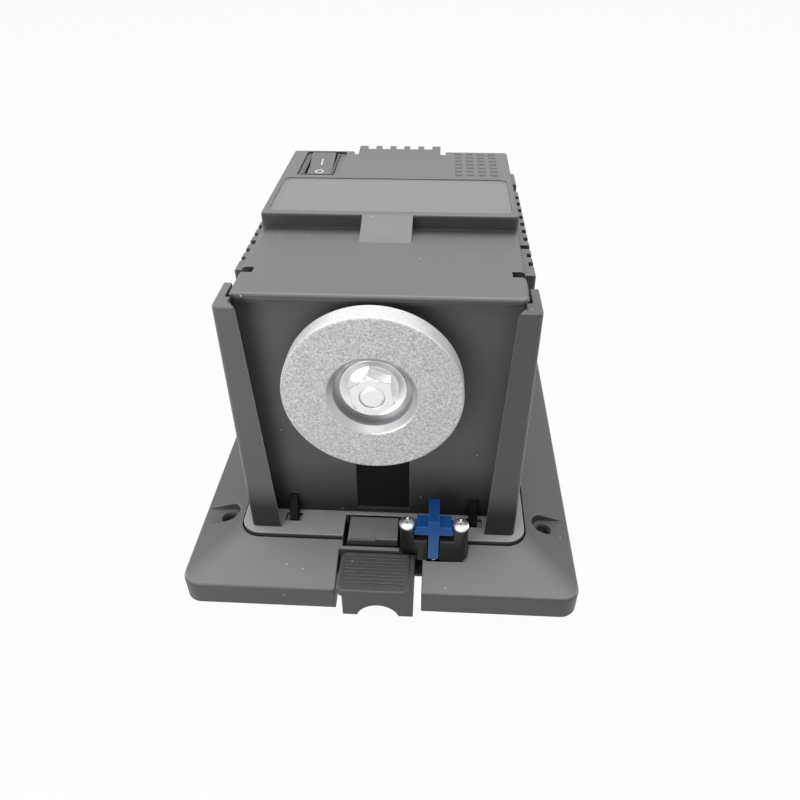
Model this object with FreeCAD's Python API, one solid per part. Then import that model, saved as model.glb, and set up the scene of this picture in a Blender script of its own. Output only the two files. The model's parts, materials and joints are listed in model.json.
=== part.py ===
import FreeCAD, Part
import math
import os

# Bench sharpener, in millimetres. The front faces -Y, the feet stand on Z = 0, X = 0 is the middle.

# Base
FOOT_H = 3.0
FOOT_D = 13.0
FOOT_TAPER = 0.6
FOOT_PIN_R = 2.5
FOOT_DISH_R = 2.8
FOOT_DISH_H = 1.4
FOOT_X = 54.0
FOOT_FRONT_Y = -66.0
FOOT_BACK_Y = 71.0
BASE_W = 138.0
BASE_FRONT = -80.0
BASE_BACK = 83.0
BASE_R = 6.0
BASE_EDGE_H = 9.4
BASE_EDGE_R = 1.2
BASE_WALL = 2.8
CROWN_Z = 18.0
SEAT_Z = 15.4
EDGE_Z = FOOT_H + BASE_EDGE_H
CEILING_Z = 12.8
GROOVE = 0.5
BENCH_HOLE_X = 59.0
BENCH_HOLE_FRONT_Y = -48.5
BENCH_HOLE_BACK_Y = 51.5
BENCH_HOLE_R = 2.25
BENCH_LANDING_R = 4.35
BENCH_LANDING_Z = 12.7
BENCH_BOSS_R = 5.5
BOTTOM_T = 1.6
BOTTOM_GAP = 0.3
BOTTOM_SCREW_X = 40.0
BOTTOM_SCREW_YS = (-70.0, 2.0, 74.0)
BOTTOM_SCREW_R = 1.2
BOTTOM_SCREW_L = 8.0
BOTTOM_VENT_HALF = 30.0
BOTTOM_VENT_W = 3.0
BOTTOM_VENT_YS = (-20.0, -12.0, 22.0, 30.0, 38.0)
SCREW_BOSS_R = 3.2
SCREW_GAP = 0.3

# Plinth and body
PLINTH_W = 102.8
PLINTH_FRONT = -61.2
PLINTH_BACK = 70.8
PLINTH_R = 7.0
PLINTH_EDGE_R = 0.5
PLINTH_OPEN_X = 41.0
PLINTH_OPEN_FRONT = -38.0
PLINTH_OPEN_BACK = 54.0
PLINTH_OPEN_R = 4.0
SILL_Z = 19.3
SOCKET_X0 = 30.0
SOCKET_X1 = 36.0
SOCKET_FRONT = -54.7
SOCKET_BACK = -50.6
SOCKET_DEPTH = 1.6
BODY_W = 89.2
BODY_BACK = 66.7
BODY_WALL = 2.6
BODY_R = 2.0
PANEL_Y = -49.2
PANEL_T = 2.5
PANEL_HOLE_R = 15.0
PANEL_RECESS_X = 9.4
PANEL_RECESS_FOOT = 2.5
PANEL_RECESS_TOP_Z = 62.0
PANEL_RECESS_DEPTH = 0.8
HOOK_X0 = 31.2
HOOK_X1 = 34.2
HOOK_H = 8.7
HOOK_TIP = 1.0
HOOK_NOSE_H = 2.5
HOOK_GAP = 0.3
COLUMN_X = 37.5
COLUMN_FRONT_Y = -42.0
COLUMN_BACK_Y = 59.0
COLUMN_R = 4.0
COLUMN_TOP_Z = 58.0
COLUMN_WEB_T = 2.0
COLUMN_SCREW_R = 1.4
COLUMN_SCREW_L = 12.0
COLUMN_HEAD_R = 3.2
COLUMN_HEAD_H = 2.0
GLAND_X = 24.0
GLAND_Z = 32.0
GLAND_BORE_R = 3.5
GLAND_NECK_R = 5.5
GLAND_INNER_R = 7.0
GLAND_INNER_T = 2.0
GLAND_OUTER_R = 7.5
GLAND_OUTER_T = 3.0

# Guide posts
POST_FRONT = -58.2
POST_HALF = 47.5
POST_TOP_Z = 110.1
POST_LIP_TOP_X = 40.3
POST_LIP_FOOT_X = 36.5
POST_UNDERCUT = 2.9
POST_LIP_T = 4.0
POST_WING_X = 44.9
POST_WING_BACK = -42.9
POST_EDGE_R = 1.8
POST_TIP_R = 0.5
POST_LID_GAP = 0.3

# Lid
DECK_FRONT = -51.4
DECK_Z = 110.7
DECK_CORNER_R = 2.5
DECK_EDGE_R = 1.8
STEP_Y = -2.1
STEP_LAP = 4.0
ROOF_Z = 115.7
ROOF_CORNER_R = 1.5
ROOF_EDGE_R = 0.8
LID_T = 2.5
LID_SEAT_Z = DECK_Z - LID_T
RAMP_X0 = -9.2
RAMP_X1 = 8.3
RAMP_FOOT_Y = -13.7
SIDE_SLOT_X = 40.2
SIDE_SLOT_Y0 = -36.9
SIDE_SLOT_Y1 = -33.2
SIDE_SLOT_DEPTH = 8.0
PLATE_X = 42.4
PLATE_Y0 = 0.8
PLATE_Y1 = 33.8
PLATE_R = 3.0
PLATE_DEPTH = 0.45
DIMPLE_X0 = 24.4
DIMPLE_Y0 = 38.4
DIMPLE_PITCH_X = 4.55
DIMPLE_PITCH_Y = 4.15
DIMPLE_COLUMNS = 4
DIMPLE_ROWS = 7
DIMPLE_X = 1.5
DIMPLE_Y = 1.1
DIMPLE_DEPTH = 0.4

# Grilles
GRILLE_OUT_X = 48.6
GRILLE_FRONT = -28.2
GRILLE_BACK = 66.4
GRILLE_TOP_Z = 107.0
GRILLE_FOOT_Z = 28.0
GRILLE_EDGE_R = 1.0
GRILLE_SKIN = 2.2
NOTCH_SKIN = 0.6
SLOT_W = 3.0
SLOT_PITCH = 6.5
SLOT_FIRST_Y = -19.9
SLOT_COUNT = 10
NOTCH_SLOT = 2
WIDE_SLOT_Y = 49.5
WIDE_SLOT_W = 8.0
SLOT_LOW_Z = 36.0
SLOT_HIGH_Z = 100.0
VENT_FRONT = -24.0
VENT_BACK = 54.0
HUMP_X = 17.0
HUMP_FRONT = 55.8
HUMP_BACK = 69.8
HUMP_Z = 118.2
HUMP_NOTCH_W = 2.2
HUMP_NOTCH_L = 4.0
TOOTH_W = 2.5
TOOTH_PITCH = 5.9
TOOTH_COUNT = 6
TOOTH_H = 2.0
REAR_GRILLE_FOOT_Z = 44.0
REAR_SLOT_LOW_Z = 50.0
REAR_SLOT_HIGH_Z = 96.0
REAR_GROOVE = 1.4
REAR_VENT_X = 14.0

# Spindle, on an axis along Y
SPINDLE_X = -1.5
SPINDLE_Z = 82.1
SHAFT_R = 4.0
SHAFT_NOSE = 0.2
SHAFT_CHAMFER = 0.9
SHAFT_BACK = 61.0
SHAFT_BACK_CHAMFER = 0.6
SHOULDER_R = 5.5
SHOULDER_Y = -50.2
SHOULDER_BACK_Y = -22.0
FIT = 0.04
WHEEL_R = 28.0
WHEEL_FRONT = -62.2
WHEEL_T = 8.0
WHEEL_BACK = WHEEL_FRONT + WHEEL_T
WHEEL_EDGE_R = 2.0
WHEEL_BACK_R = 1.0
RECESS_R = 14.25
RECESS_CHAMFER = 2.0
RECESS_Y = -55.7
BACKING_R = 12.0
BACKING_HUB_R = 8.0
BACKING_T = 1.6
CUP_R = 10.5
CUP_RIM = 1.1
CUP_FLOOR = 0.5
CUP_FLOOR_R = 7.8
CUP_RIM_R = 8.4
NUT_AF = 13.0
NUT_TURN = -80.0
NUT_FRONT = -62.0
NUT_CHAMFER = 0.9

# Motor
STATOR_R = 29.0
STATOR_BORE_R = 23.0
STATOR_Y0 = 1.5
STATOR_Y1 = 35.0
POLE_R = 16.0
POLE_HALF = 5.0
SHOE_R = 14.8
SHOE_T = 3.0
SHOE_GAP_HALF = 3.0
COIL_IN_R = 18.2
COIL_OUT_R = 20.8
COIL_HALF = 9.2
COIL_END = 8.0
COIL_CORNER_R = 3.0
ROTOR_R = 14.4
ROTOR_INSET = 1.0
END_RING_IN_R = 8.5
END_RING_OUT_R = 13.6
END_RING_T = 3.0
BOLT_CIRCLE_R = 25.5
BOLT_R = 2.0
BOLT_AF = 7.0
BOLT_HEAD = 2.8
BOLT_NUT = 3.2
BOLT_TAIL = 4.5
BUSH_R = 7.0
BUSH_WALL = 2.5
NOSE_L = 6.0
FRONT_ARM_Y = -14.0
REAR_ARM_Y = 45.0
ARM_T = 2.5
ARM_HALF = 3.5
FAN_Y = 53.0
FAN_R = 19.0
FAN_DISC_T = 1.4
FAN_HUB_R = 8.0
FAN_L = 7.5
FAN_BLADES = 9
FAN_BLADE_T = 1.4
CRADLE_X = 30.0
CRADLE_FRONT = 2.0
CRADLE_BACK = 32.0
CRADLE_T = 3.0
CRADLE_R = 4.0
YOKE_X = 28.0
YOKE_YS = (4.0, 25.0)
YOKE_T = 5.0
YOKE_WINDOW_X = 14.0
YOKE_WINDOW_LOW = 10.0
YOKE_WINDOW_HIGH = 26.0
EAR_Z = 70.0
EAR_T = 4.0
EAR_IN_X = 26.5
EAR_OUT_X = 35.5
EAR_SCREW_X = 33.2
CRADLE_SCREW_X = 25.0
CRADLE_SCREW_YS = (12.0, 22.0)
CRADLE_SCREW_R = 1.5
CRADLE_SCREW_L = 8.0
CRADLE_HEAD_R = 2.9
CRADLE_BOSS_Z = 8.0
STRAP_Y0 = 13.0
STRAP_Y1 = 21.0
STRAP_T = 1.2
STRAP_SCREW_R = 1.45
STRAP_SCREW_L = 5.0
STRAP_HEAD_R = 2.2
PAN_HEAD_H = 1.8
PAN_HEAD_ROUND = 1.0

# Rocker switch
SWITCH_X = -31.0
SWITCH_Y = 51.1
SWITCH_HALF_X = 6.2
SWITCH_HALF_Y = 12.6
SWITCH_FOOT_Z = 101.0
SWITCH_TOP_Z = 115.3
SWITCH_WELL_Z = 105.0
SWITCH_PIVOT_Z = 110.2
PIVOT_STUB = 0.7
PIVOT_STUB_R = 1.5
STUB_FIT = 0.05
STUB_END_GAP = 0.2
WELL_GAP_X = 0.35
WELL_GAP_Y = 0.5
SURROUND_LEFT = 7.7
SURROUND_RIGHT = 8.9
SURROUND_FRONT = 36.8
SURROUND_BACK = 65.3
SURROUND_DEPTH = 1.0
SURROUND_R = 1.0
ROCKER_W = 9.6
ROCKER_R = 11.4
ROCKER_TILT = 8.0
ROCKER_END_H = 5.6
ROCKER_VALLEY_H = 4.6
ROCKER_KEEL_H = 2.2
ROCKER_KEEL_HALF = 3.0
ROCKER_KEEL_RISE = 2.0
BLADE_YS = (-7.0, 0.0, 7.0)
BLADE_T = 0.8
BLADE_HALF = 2.4
BLADE_FOOT_Z = 93.5
BLADE_HOLE_Z = 96.0
BLADE_HOLE_R = 0.9

# Release lever
LEVER_FRONT = -83.0
LEVER_HALF = 12.2
LEVER_PAD_BACK = -65.6
LEVER_TOP_Z = 16.3
LEVER_CAP_X0 = -13.9
LEVER_CAP_X1 = 10.7
LEVER_CAP_T = 3.0
LEVER_CAP_R = 2.5
LEVER_CAP_EDGE_R = 0.8
LEVER_CAP_RISE = 0.7
LEVER_CAP_NOSE = 0.5
LEVER_WALL = 2.0
LEVER_FRONT_WALL = 2.4
LEVER_ROOF_T = 2.6
LEVER_POCKET_HALF = 14.9
POCKET_WALL = 1.5
ARCH_HALF = 7.15
ARCH_H = 5.4
GRIP_COUNT = 9
GRIP_PITCH = 1.5
GRIP_W = 0.75
GRIP_DEPTH = 0.5
GRIP_SET_BACK = 3.0
GRIP_MARGIN = 1.8
LATCH_X1 = 5.8
LATCH_FRONT = -62.8
LATCH_BACK = -51.4
LATCH_EDGE_R = 0.6
LATCH_GAP_LEFT = 1.6
LATCH_GAP_RIGHT = 0.9
LATCH_GAP_BACK = 0.8
CATCH_X0 = -1.9
CATCH_L = 4.5
CATCH_H = 0.5
CATCH_ROOT = 2.0
ARM_FRONT = -75.0
ARM_LOW_Z = 8.2
ARM_HIGH_Z = 12.2
PIVOT_Y = -46.2
PIVOT_Z = 9.5
PIVOT_R = 1.5
PIVOT_FIT = 0.06
BARREL_R = 3.0
PIN_X0 = -17.2
PIN_X1 = 10.8
PIN_LUG_T = 3.0
PIN_LUG_HALF = 3.5
PIN_LUG_Z = 6.0
BRIDGE_Y0 = -65.3
BRIDGE_Y1 = -63.9
LEVER_SPRING_X = -3.2
LEVER_SPRING_Y = -56.0
LEVER_SPRING_R = 3.0
LEVER_SPRING_WIRE = 0.5
SPRING_TURNS = 3
WIRE_SIDES = 6

# Interlock
BLOCK_X0 = 7.0
BLOCK_X1 = 30.5
BLOCK_FRONT = -68.2
BLOCK_BACK = -61.9
BLOCK_FOOT_Z = 16.0
BLOCK_TOP_Z = 30.8
BLOCK_R = 3.0
BLOCK_POCKET_GAP = 0.3
BLOCK_NOTCH_X = 13.0
BLOCK_NOTCH_BACK = -65.4
BLOCK_NOTCH_Z = 21.6
BLOCK_SLOT_Z = 21.8
BLOCK_RECESS_X = 6.9
BLOCK_RECESS_DEPTH = 5.0
BLOCK_SCREW_X = 9.1
BLOCK_SCREW_R = 1.5
BLOCK_SCREW_L = 7.5
BLOCK_HEAD_R = 2.9
CROSS_HALF_L = 1.6
CROSS_HALF_W = 0.3
CROSS_FLOOR = 1.0
PEG_PLACES = ((27.0, -65.0), (14.0, -63.6))
PEG_R = 2.0
PEG_GAP = 0.02
PLUNGER_X = 18.6
PLUNGER_W = 3.7
PLUNGER_TOP_Z = 35.0
PLUNGER_BACK = -56.9
PLUNGER_WEB_Z = 24.6
PLUNGER_SLOT_GAP = 0.3
BAR_X = 5.9
BAR_LIP_X = 6.6
BAR_FRONT = -67.9
BAR_BACK = -62.1
BAR_LOW = 2.2
BAR_HIGH = 1.7
BAR_LIP_DROP = 0.3
LEG_Y = -66.2
LEG_HALF = 1.7
LEG_FOOT_Z = 16.5
LEG_SLOT_BACK = -64.2
LEG_HOLE_HALF = 2.2
MICRO_X0 = 16.6
MICRO_X1 = 29.4
MICRO_FRONT = -69.6
MICRO_BACK = -62.8
MICRO_TOP_Z = 11.4
MICRO_WELL_Z = 5.8
BUTTON_R = 1.0
BUTTON_FIT = 0.08
BUTTON_FOOT_Z = 8.6
PLUNGER_SPRING_R = 1.5
PLUNGER_SPRING_WIRE = 0.4

# How far a cut runs past the face that it opens, and how close counts as on a level
PAST = 1.0
NEAR = 0.1

Vec = FreeCAD.Vector
RIGHT = Vec(1, 0, 0)
BACK = Vec(0, 1, 0)
UP = Vec(0, 0, 1)
SPINDLE = Vec(SPINDLE_X, 0, SPINDLE_Z)
SIDES = (-1, 1)
QUARTERS = (0, 90, 180, 270)
DIAGONALS = (45, 135, 225, 315)


def box(x0, x1, y0, y1, z0, z1):
    return Part.makeBox(x1 - x0, y1 - y0, z1 - z0, Vec(x0, y0, z0))


def side_box(side, near_x, far_x, y0, y1, z0, z1):
    """Box by its distances from the middle, on the left (-1) or the right (1)."""
    x0, x1 = sorted((side * near_x, side * far_x))
    return box(x0, x1, y0, y1, z0, z1)


def upright(x, y, z0, z1, radius):
    return Part.makeCylinder(radius, z1 - z0, Vec(x, y, z0), UP)


def crosswise(y, z, x0, x1, radius):
    return Part.makeCylinder(radius, x1 - x0, Vec(x0, y, z), RIGHT)


def lengthwise(x, z, y0, y1, radius):
    return Part.makeCylinder(radius, y1 - y0, Vec(x, y0, z), BACK)


def on_spindle(y0, y1, radius):
    return lengthwise(SPINDLE_X, SPINDLE_Z, y0, y1, radius)


def tube(y0, y1, inner, outer):
    """Ring on the spindle axis."""
    return on_spindle(y0, y1, outer).cut(on_spindle(y0, y1, inner))


def spindle_box(x0, x1, y0, y1, half):
    """Box on the spindle's +X side, half as high as given above and below its axis."""
    return box(SPINDLE_X + x0, SPINDLE_X + x1, y0, y1, SPINDLE_Z - half, SPINDLE_Z + half)


def round_spindle(shape, angles):
    """Copies of a shape, turned to each angle about the spindle."""
    copies = []
    for angle in angles:
        copy = shape.copy()
        copy.rotate(SPINDLE, BACK, angle)
        copies.append(copy)
    return copies


def turned(points):
    """Outline of (y, radius) points, turned about the spindle."""
    corners = [Vec(SPINDLE_X, y, SPINDLE_Z + radius) for y, radius in points]
    return Part.Face(Part.makePolygon(corners + corners[:1])).revolve(SPINDLE, BACK, 360)


def rounded_outline(x0, x1, y0, y1, z, radius):
    """Level rectangle with rounded corners."""
    corners = [(x1 - radius, y0 + radius, 270), (x1 - radius, y1 - radius, 0),
               (x0 + radius, y1 - radius, 90), (x0 + radius, y0 + radius, 180)]
    arcs = [Part.makeCircle(radius, Vec(x, y, z), UP, start, start + 90) for x, y, start in corners]
    edges = []
    for arc, following in zip(arcs, arcs[1:] + arcs[:1]):
        edges.append(arc)
        edges.append(Part.makeLine(arc.lastVertex().Point, following.firstVertex().Point))
    return Part.Wire(edges)


def raised(outline, height):
    return Part.Face(outline).extrude(UP * height)


def slab(x0, x1, y0, y1, z0, z1, radius):
    return raised(rounded_outline(x0, x1, y0, y1, z0, radius), z1 - z0)


def side_profile(points, x0, x1):
    """Outline of (y, z) points, pushed from x0 to x1."""
    corners = [Vec(x0, y, z) for y, z in points]
    return Part.Face(Part.makePolygon(corners + corners[:1])).extrude(RIGHT * (x1 - x0))


def hexagon(across_flats, y0, y1, x, z, turn):
    radius = across_flats / math.sqrt(3)
    angles = [math.radians(turn + 60 * k) for k in range(6)]
    points = [Vec(x + radius * math.cos(a), y0, z + radius * math.sin(a)) for a in angles]
    return Part.Face(Part.makePolygon(points + points[:1])).extrude(BACK * (y1 - y0))


def rounded(shape, radius, wanted):
    """Round the edges that pass the test, which gets each edge and its middle point."""
    edges = [edge for edge in shape.Edges if wanted(edge, edge.CenterOfMass)]
    return shape.makeFillet(radius, edges)


def is_upright(edge):
    first, last = edge.firstVertex().Point, edge.lastVertex().Point
    return abs(first.x - last.x) + abs(first.y - last.y) < NEAR and abs(first.z - last.z) > PAST


def is_rim(edge, radius, y):
    curve = edge.Curve
    if not isinstance(curve, Part.Circle):
        return False
    return abs(curve.Radius - radius) < NEAR and abs(curve.Center.y - y) < NEAR


def mirrored(shape):
    return shape.mirror(Vec(0, 0, 0), RIGHT)


def pan_screw(x, y, seat_z, length, radius, head_radius):
    """Screw with a sloped head above its seat and a plain shank below it."""
    rim_z = seat_z + PAN_HEAD_H - PAN_HEAD_ROUND
    rim = upright(x, y, seat_z, rim_z, head_radius)
    crown = Part.makeCone(head_radius, head_radius - PAN_HEAD_ROUND, PAN_HEAD_ROUND, Vec(x, y, rim_z), UP)
    return rim.multiFuse([crown, upright(x, y, seat_z - length, seat_z, radius)])


def two_arcs(start, start_way, end, end_way):
    """Two arcs that join two points and share a tangent where they meet."""
    gap = end - start
    ways = start_way + end_way
    spread = 2 * (1 - start_way.dot(end_way))
    reach = (math.sqrt(gap.dot(ways) ** 2 + spread * gap.dot(gap)) - gap.dot(ways)) / spread
    middle = (start + end + (start_way - end_way) * reach) * 0.5
    halves = ((start, middle, start + start_way * reach), (middle, end, end - end_way * reach))
    arcs = []
    for first, last, corner in halves:
        chord = (first + last) * 0.5
        half = (last - first).Length / 2
        rise = (corner - chord).Length
        crest = chord + (corner - chord) * (half * math.tan(math.atan2(rise, half) / 2) / rise)
        arcs.append(Part.Arc(first, crest, last).toShape())
    return arcs


def ring_points(middle, axis, radius):
    """Corners of a wire's section, square to an axis, with the first one repeated at the end."""
    across = axis.cross(UP).normalize() * radius
    over = axis.cross(across)
    angles = [2 * math.pi * k / WIRE_SIDES for k in range(WIRE_SIDES + 1)]
    return [middle + across * math.cos(a) + over * math.sin(a) for a in angles]


def coil_spring(name, x, y, z0, z1, radius, wire):
    """Compression spring that stands between two levels."""
    climb = (z1 - z0 - wire) / (2 * math.pi * SPRING_TURNS)

    def place(angle):
        return Vec(x + radius * math.cos(angle), y + radius * math.sin(angle), z0 + wire / 2 + climb * angle)

    def way(angle):
        return Vec(-radius * math.sin(angle), radius * math.cos(angle), climb).normalize()

    edges = []
    for k in range(2 * SPRING_TURNS):
        a, b = math.pi * k, math.pi * (k + 1)
        edges += two_arcs(place(a), way(a), place(b), way(b))
    section = Part.makePolygon(ring_points(place(0), way(0), wire / 2))
    points = [place(math.pi * k / 12) for k in range(24 * SPRING_TURNS + 1)]
    gaps = [(p - q).Length for i, p in enumerate(points) for q in points[i + 12:]]
    print(name, "least gap between turns", round(min(gaps) - wire, 2))
    return Part.Wire(edges).makePipeShell([section], True, False)


def base_outline(inset, z):
    return rounded_outline(-BASE_W / 2 + inset, BASE_W / 2 - inset, BASE_FRONT + inset, BASE_BACK - inset,
                           z, BASE_R - inset / 4)


def plinth_outline(gap, z):
    return rounded_outline(-PLINTH_W / 2 - gap, PLINTH_W / 2 + gap, PLINTH_FRONT - gap, PLINTH_BACK + gap,
                           z, PLINTH_R + gap)


def corner_places(x, ys):
    return [(side * x, y) for side in SIDES for y in ys]


def bench_places():
    return corner_places(BENCH_HOLE_X, (BENCH_HOLE_FRONT_Y, BENCH_HOLE_BACK_Y))


def column_places():
    return corner_places(COLUMN_X, (COLUMN_FRONT_Y, COLUMN_BACK_Y))


def foot_places():
    return corner_places(FOOT_X, (FOOT_FRONT_Y, FOOT_BACK_Y))


def bottom_screw_places():
    return corner_places(BOTTOM_SCREW_X, BOTTOM_SCREW_YS)


def cradle_screw_places():
    return [(SPINDLE_X + x, y) for x, y in corner_places(CRADLE_SCREW_X, CRADLE_SCREW_YS)]


def ear_screw_places():
    middle = (STRAP_Y0 + STRAP_Y1) / 2
    return [(SPINDLE_X + x, y) for x, y in corner_places(EAR_SCREW_X, (middle,))]


def block_screw_places():
    middle = (BLOCK_FRONT + BLOCK_BACK) / 2
    return [(PLUNGER_X + x, y) for x, y in corner_places(BLOCK_SCREW_X, (middle,))]


def latch_opening(front, low_z):
    return box(-LEVER_HALF - LATCH_GAP_LEFT, LATCH_X1 + LATCH_GAP_RIGHT, front, LATCH_BACK + LATCH_GAP_BACK,
               low_z, SILL_Z + PAST)


def base_shell():
    """Hipped tray: a skirt, a hip up to the plinth's groove, and the hollow under both."""
    skirt = raised(base_outline(0, FOOT_H), BASE_EDGE_H)
    hip = Part.makeLoft([base_outline(0, EDGE_Z), plinth_outline(GROOVE, CROWN_Z)], True, True)
    shell = skirt.fuse(hip).removeSplitter()
    shell = rounded(shell, BASE_EDGE_R, lambda edge, mid: abs(mid.z - EDGE_Z) < NEAR)
    inner_z = EDGE_Z - BASE_WALL
    hip_run = BASE_W / 2 - PLINTH_W / 2 - GROOVE
    inner_run = (CEILING_Z - inner_z) * hip_run / (CROWN_Z - EDGE_Z)
    hollow = raised(base_outline(BASE_WALL, FOOT_H), inner_z - FOOT_H)
    inner_edges = [base_outline(BASE_WALL, inner_z), base_outline(BASE_WALL + inner_run, CEILING_Z)]
    inner_hip = Part.makeLoft(inner_edges, True, True)
    seat = raised(plinth_outline(GROOVE, SEAT_Z), CROWN_Z - SEAT_Z + PAST)
    return shell.cut([hollow, inner_hip, seat])


def base_bosses():
    """Bosses of the bench, cover and cradle screws, lugs of the lever's pin, walls of its pocket."""
    bosses = [upright(x, y, FOOT_H, BENCH_LANDING_Z, BENCH_BOSS_R) for x, y in bench_places()]
    bosses += [upright(x, y, FOOT_H + BOTTOM_T, CEILING_Z, SCREW_BOSS_R) for x, y in bottom_screw_places()]
    bosses += [upright(x, y, CRADLE_BOSS_Z, CEILING_Z, SCREW_BOSS_R) for x, y in cradle_screw_places()]
    for x in (PIN_X0, PIN_X1 - PIN_LUG_T):
        bosses.append(box(x, x + PIN_LUG_T, PIVOT_Y - PIN_LUG_HALF, PIVOT_Y + PIN_LUG_HALF,
                          PIN_LUG_Z, CEILING_Z))
    for side in SIDES:
        bosses.append(side_box(side, LEVER_POCKET_HALF, LEVER_POCKET_HALF + POCKET_WALL, BASE_FRONT + PAST,
                               BRIDGE_Y0, FOOT_H, EDGE_Z - PAST))
    return bosses


def base_openings():
    """Pockets of the lever, the latch and the interlock, bench landings and screw holes."""
    openings = [box(-LEVER_POCKET_HALF, LEVER_POCKET_HALF, BASE_FRONT - PAST, BRIDGE_Y0, 0, CROWN_Z + PAST),
                latch_opening(BRIDGE_Y1, CEILING_Z - PAST),
                box(BLOCK_X0 - BLOCK_POCKET_GAP, BLOCK_X1 + BLOCK_POCKET_GAP, BLOCK_FRONT - BLOCK_POCKET_GAP,
                    PLINTH_FRONT, BLOCK_FOOT_Z, CROWN_Z + PAST),
                box(PLUNGER_X - LEG_HOLE_HALF, PLUNGER_X + LEG_HOLE_HALF, BLOCK_FRONT, LEG_SLOT_BACK,
                    CEILING_Z - PAST, CROWN_Z)]
    for x, y in bench_places():
        openings.append(upright(x, y, BENCH_LANDING_Z, CROWN_Z, BENCH_LANDING_R))
        openings.append(side_box(math.copysign(1, x), BENCH_HOLE_X, BASE_W / 2, y - BENCH_LANDING_R,
                                 y + BENCH_LANDING_R, BENCH_LANDING_Z, CROWN_Z))
        openings.append(upright(x, y, 0, CROWN_Z, BENCH_HOLE_R))
    screw_top = FOOT_H + BOTTOM_SCREW_L + PAST
    openings += [upright(x, y, 0, screw_top, BOTTOM_SCREW_R + FIT) for x, y in bottom_screw_places()]
    openings += [upright(x, y, CRADLE_BOSS_Z + PAST, SEAT_Z + PAST, CRADLE_SCREW_R + FIT)
                 for x, y in cradle_screw_places()]
    openings += [upright(x, y, CEILING_Z - PAST, SEAT_Z + PAST, COLUMN_SCREW_R + SCREW_GAP)
                 for x, y in column_places()]
    openings += [upright(x, y, CEILING_Z - PAST, CROWN_Z, PEG_R + PEG_GAP) for x, y in PEG_PLACES]
    openings.append(crosswise(PIVOT_Y, PIVOT_Z, PIN_X0, PIN_X1, PIVOT_R))
    return openings


def base_flange():
    return base_shell().multiFuse(base_bosses()).cut(base_openings())


def bottom_cover():
    plate = raised(base_outline(BASE_WALL + BOTTOM_GAP, FOOT_H), BOTTOM_T)
    top = FOOT_H + BOTTOM_T + PAST
    cuts = [upright(x, y, 0, top, BENCH_BOSS_R + BOTTOM_GAP) for x, y in bench_places()]
    cuts += [upright(x, y, 0, top, BOTTOM_SCREW_R + SCREW_GAP) for x, y in bottom_screw_places()]
    cuts += [upright(x, y, 0, top, FOOT_PIN_R) for x, y in foot_places()]
    pocket = LEVER_POCKET_HALF + POCKET_WALL + BOTTOM_GAP
    cuts.append(box(-pocket, pocket, BASE_FRONT, BRIDGE_Y0 + BOTTOM_GAP, 0, top))
    end_r = BOTTOM_VENT_W / 2 - NEAR
    for y in BOTTOM_VENT_YS:
        cuts.append(slab(-BOTTOM_VENT_HALF, BOTTOM_VENT_HALF, y, y + BOTTOM_VENT_W, 0, top, end_r))
    return plate.cut(cuts)


def rubber_feet():
    feet = []
    for x, y in foot_places():
        foot = Part.makeCone(FOOT_D / 2 - FOOT_TAPER, FOOT_D / 2, FOOT_H, Vec(x, y, 0), UP)
        foot = foot.cut(upright(x, y, 0, FOOT_DISH_H, FOOT_DISH_R))
        feet.append(foot.fuse(upright(x, y, FOOT_H, FOOT_H + BOTTOM_T, FOOT_PIN_R)))
    return Part.makeCompound(feet)


def bottom_screws():
    screws = []
    for x, y in bottom_screw_places():
        screw = pan_screw(x, y, 0, BOTTOM_SCREW_L, BOTTOM_SCREW_R, CRADLE_HEAD_R)
        screw.rotate(Vec(x, y, 0), RIGHT, 180)
        screw.translate(UP * FOOT_H)
        screws.append(screw)
    return Part.makeCompound(screws)


def plinth():
    frame = raised(plinth_outline(0, SEAT_Z), SILL_Z - SEAT_Z)
    frame = rounded(frame, PLINTH_EDGE_R, lambda edge, mid: abs(mid.z - SILL_Z) < NEAR)
    cuts = [slab(-PLINTH_OPEN_X, PLINTH_OPEN_X, PLINTH_OPEN_FRONT, PLINTH_OPEN_BACK, 0, SILL_Z + PAST,
                 PLINTH_OPEN_R), latch_opening(PLINTH_FRONT - PAST, 0)]
    for side in SIDES:
        cuts.append(side_box(side, SOCKET_X0, SOCKET_X1, SOCKET_FRONT, SOCKET_BACK, SILL_Z - SOCKET_DEPTH,
                             SILL_Z + PAST))
    cuts += [upright(x, y, 0, SILL_Z + PAST, COLUMN_SCREW_R + SCREW_GAP) for x, y in column_places()]
    return frame.cut(cuts)


def panel_hook():
    """Hook at the foot of the right-hand half of the panel, with its nose down in the plinth's socket."""
    nose_front, nose_back = SOCKET_FRONT + HOOK_GAP, SOCKET_BACK - HOOK_GAP
    nose_z = SILL_Z - SOCKET_DEPTH + HOOK_GAP
    return side_profile([(PANEL_Y + PAST, SILL_Z), (PANEL_Y + PAST, SILL_Z + HOOK_H),
                         (PANEL_Y - HOOK_TIP, SILL_Z + HOOK_H), (nose_front, SILL_Z + HOOK_NOSE_H),
                         (nose_front, nose_z), (nose_back, nose_z), (nose_back, SILL_Z)], HOOK_X0, HOOK_X1)


def front_panel():
    half = BODY_W / 2
    panel = box(-half, half, PANEL_Y, PANEL_Y + PANEL_T, SILL_Z, LID_SEAT_Z)
    recess = box(-PANEL_RECESS_X, PANEL_RECESS_X, PANEL_Y - PAST, PANEL_Y + PANEL_RECESS_DEPTH,
                 SILL_Z + PANEL_RECESS_FOOT, PANEL_RECESS_TOP_Z)
    hole = on_spindle(PANEL_Y - PAST, PANEL_Y + PANEL_T + PAST, PANEL_HOLE_R)
    return panel.multiFuse([panel_hook(), mirrored(panel_hook())]).cut([recess, hole]).removeSplitter()


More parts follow.
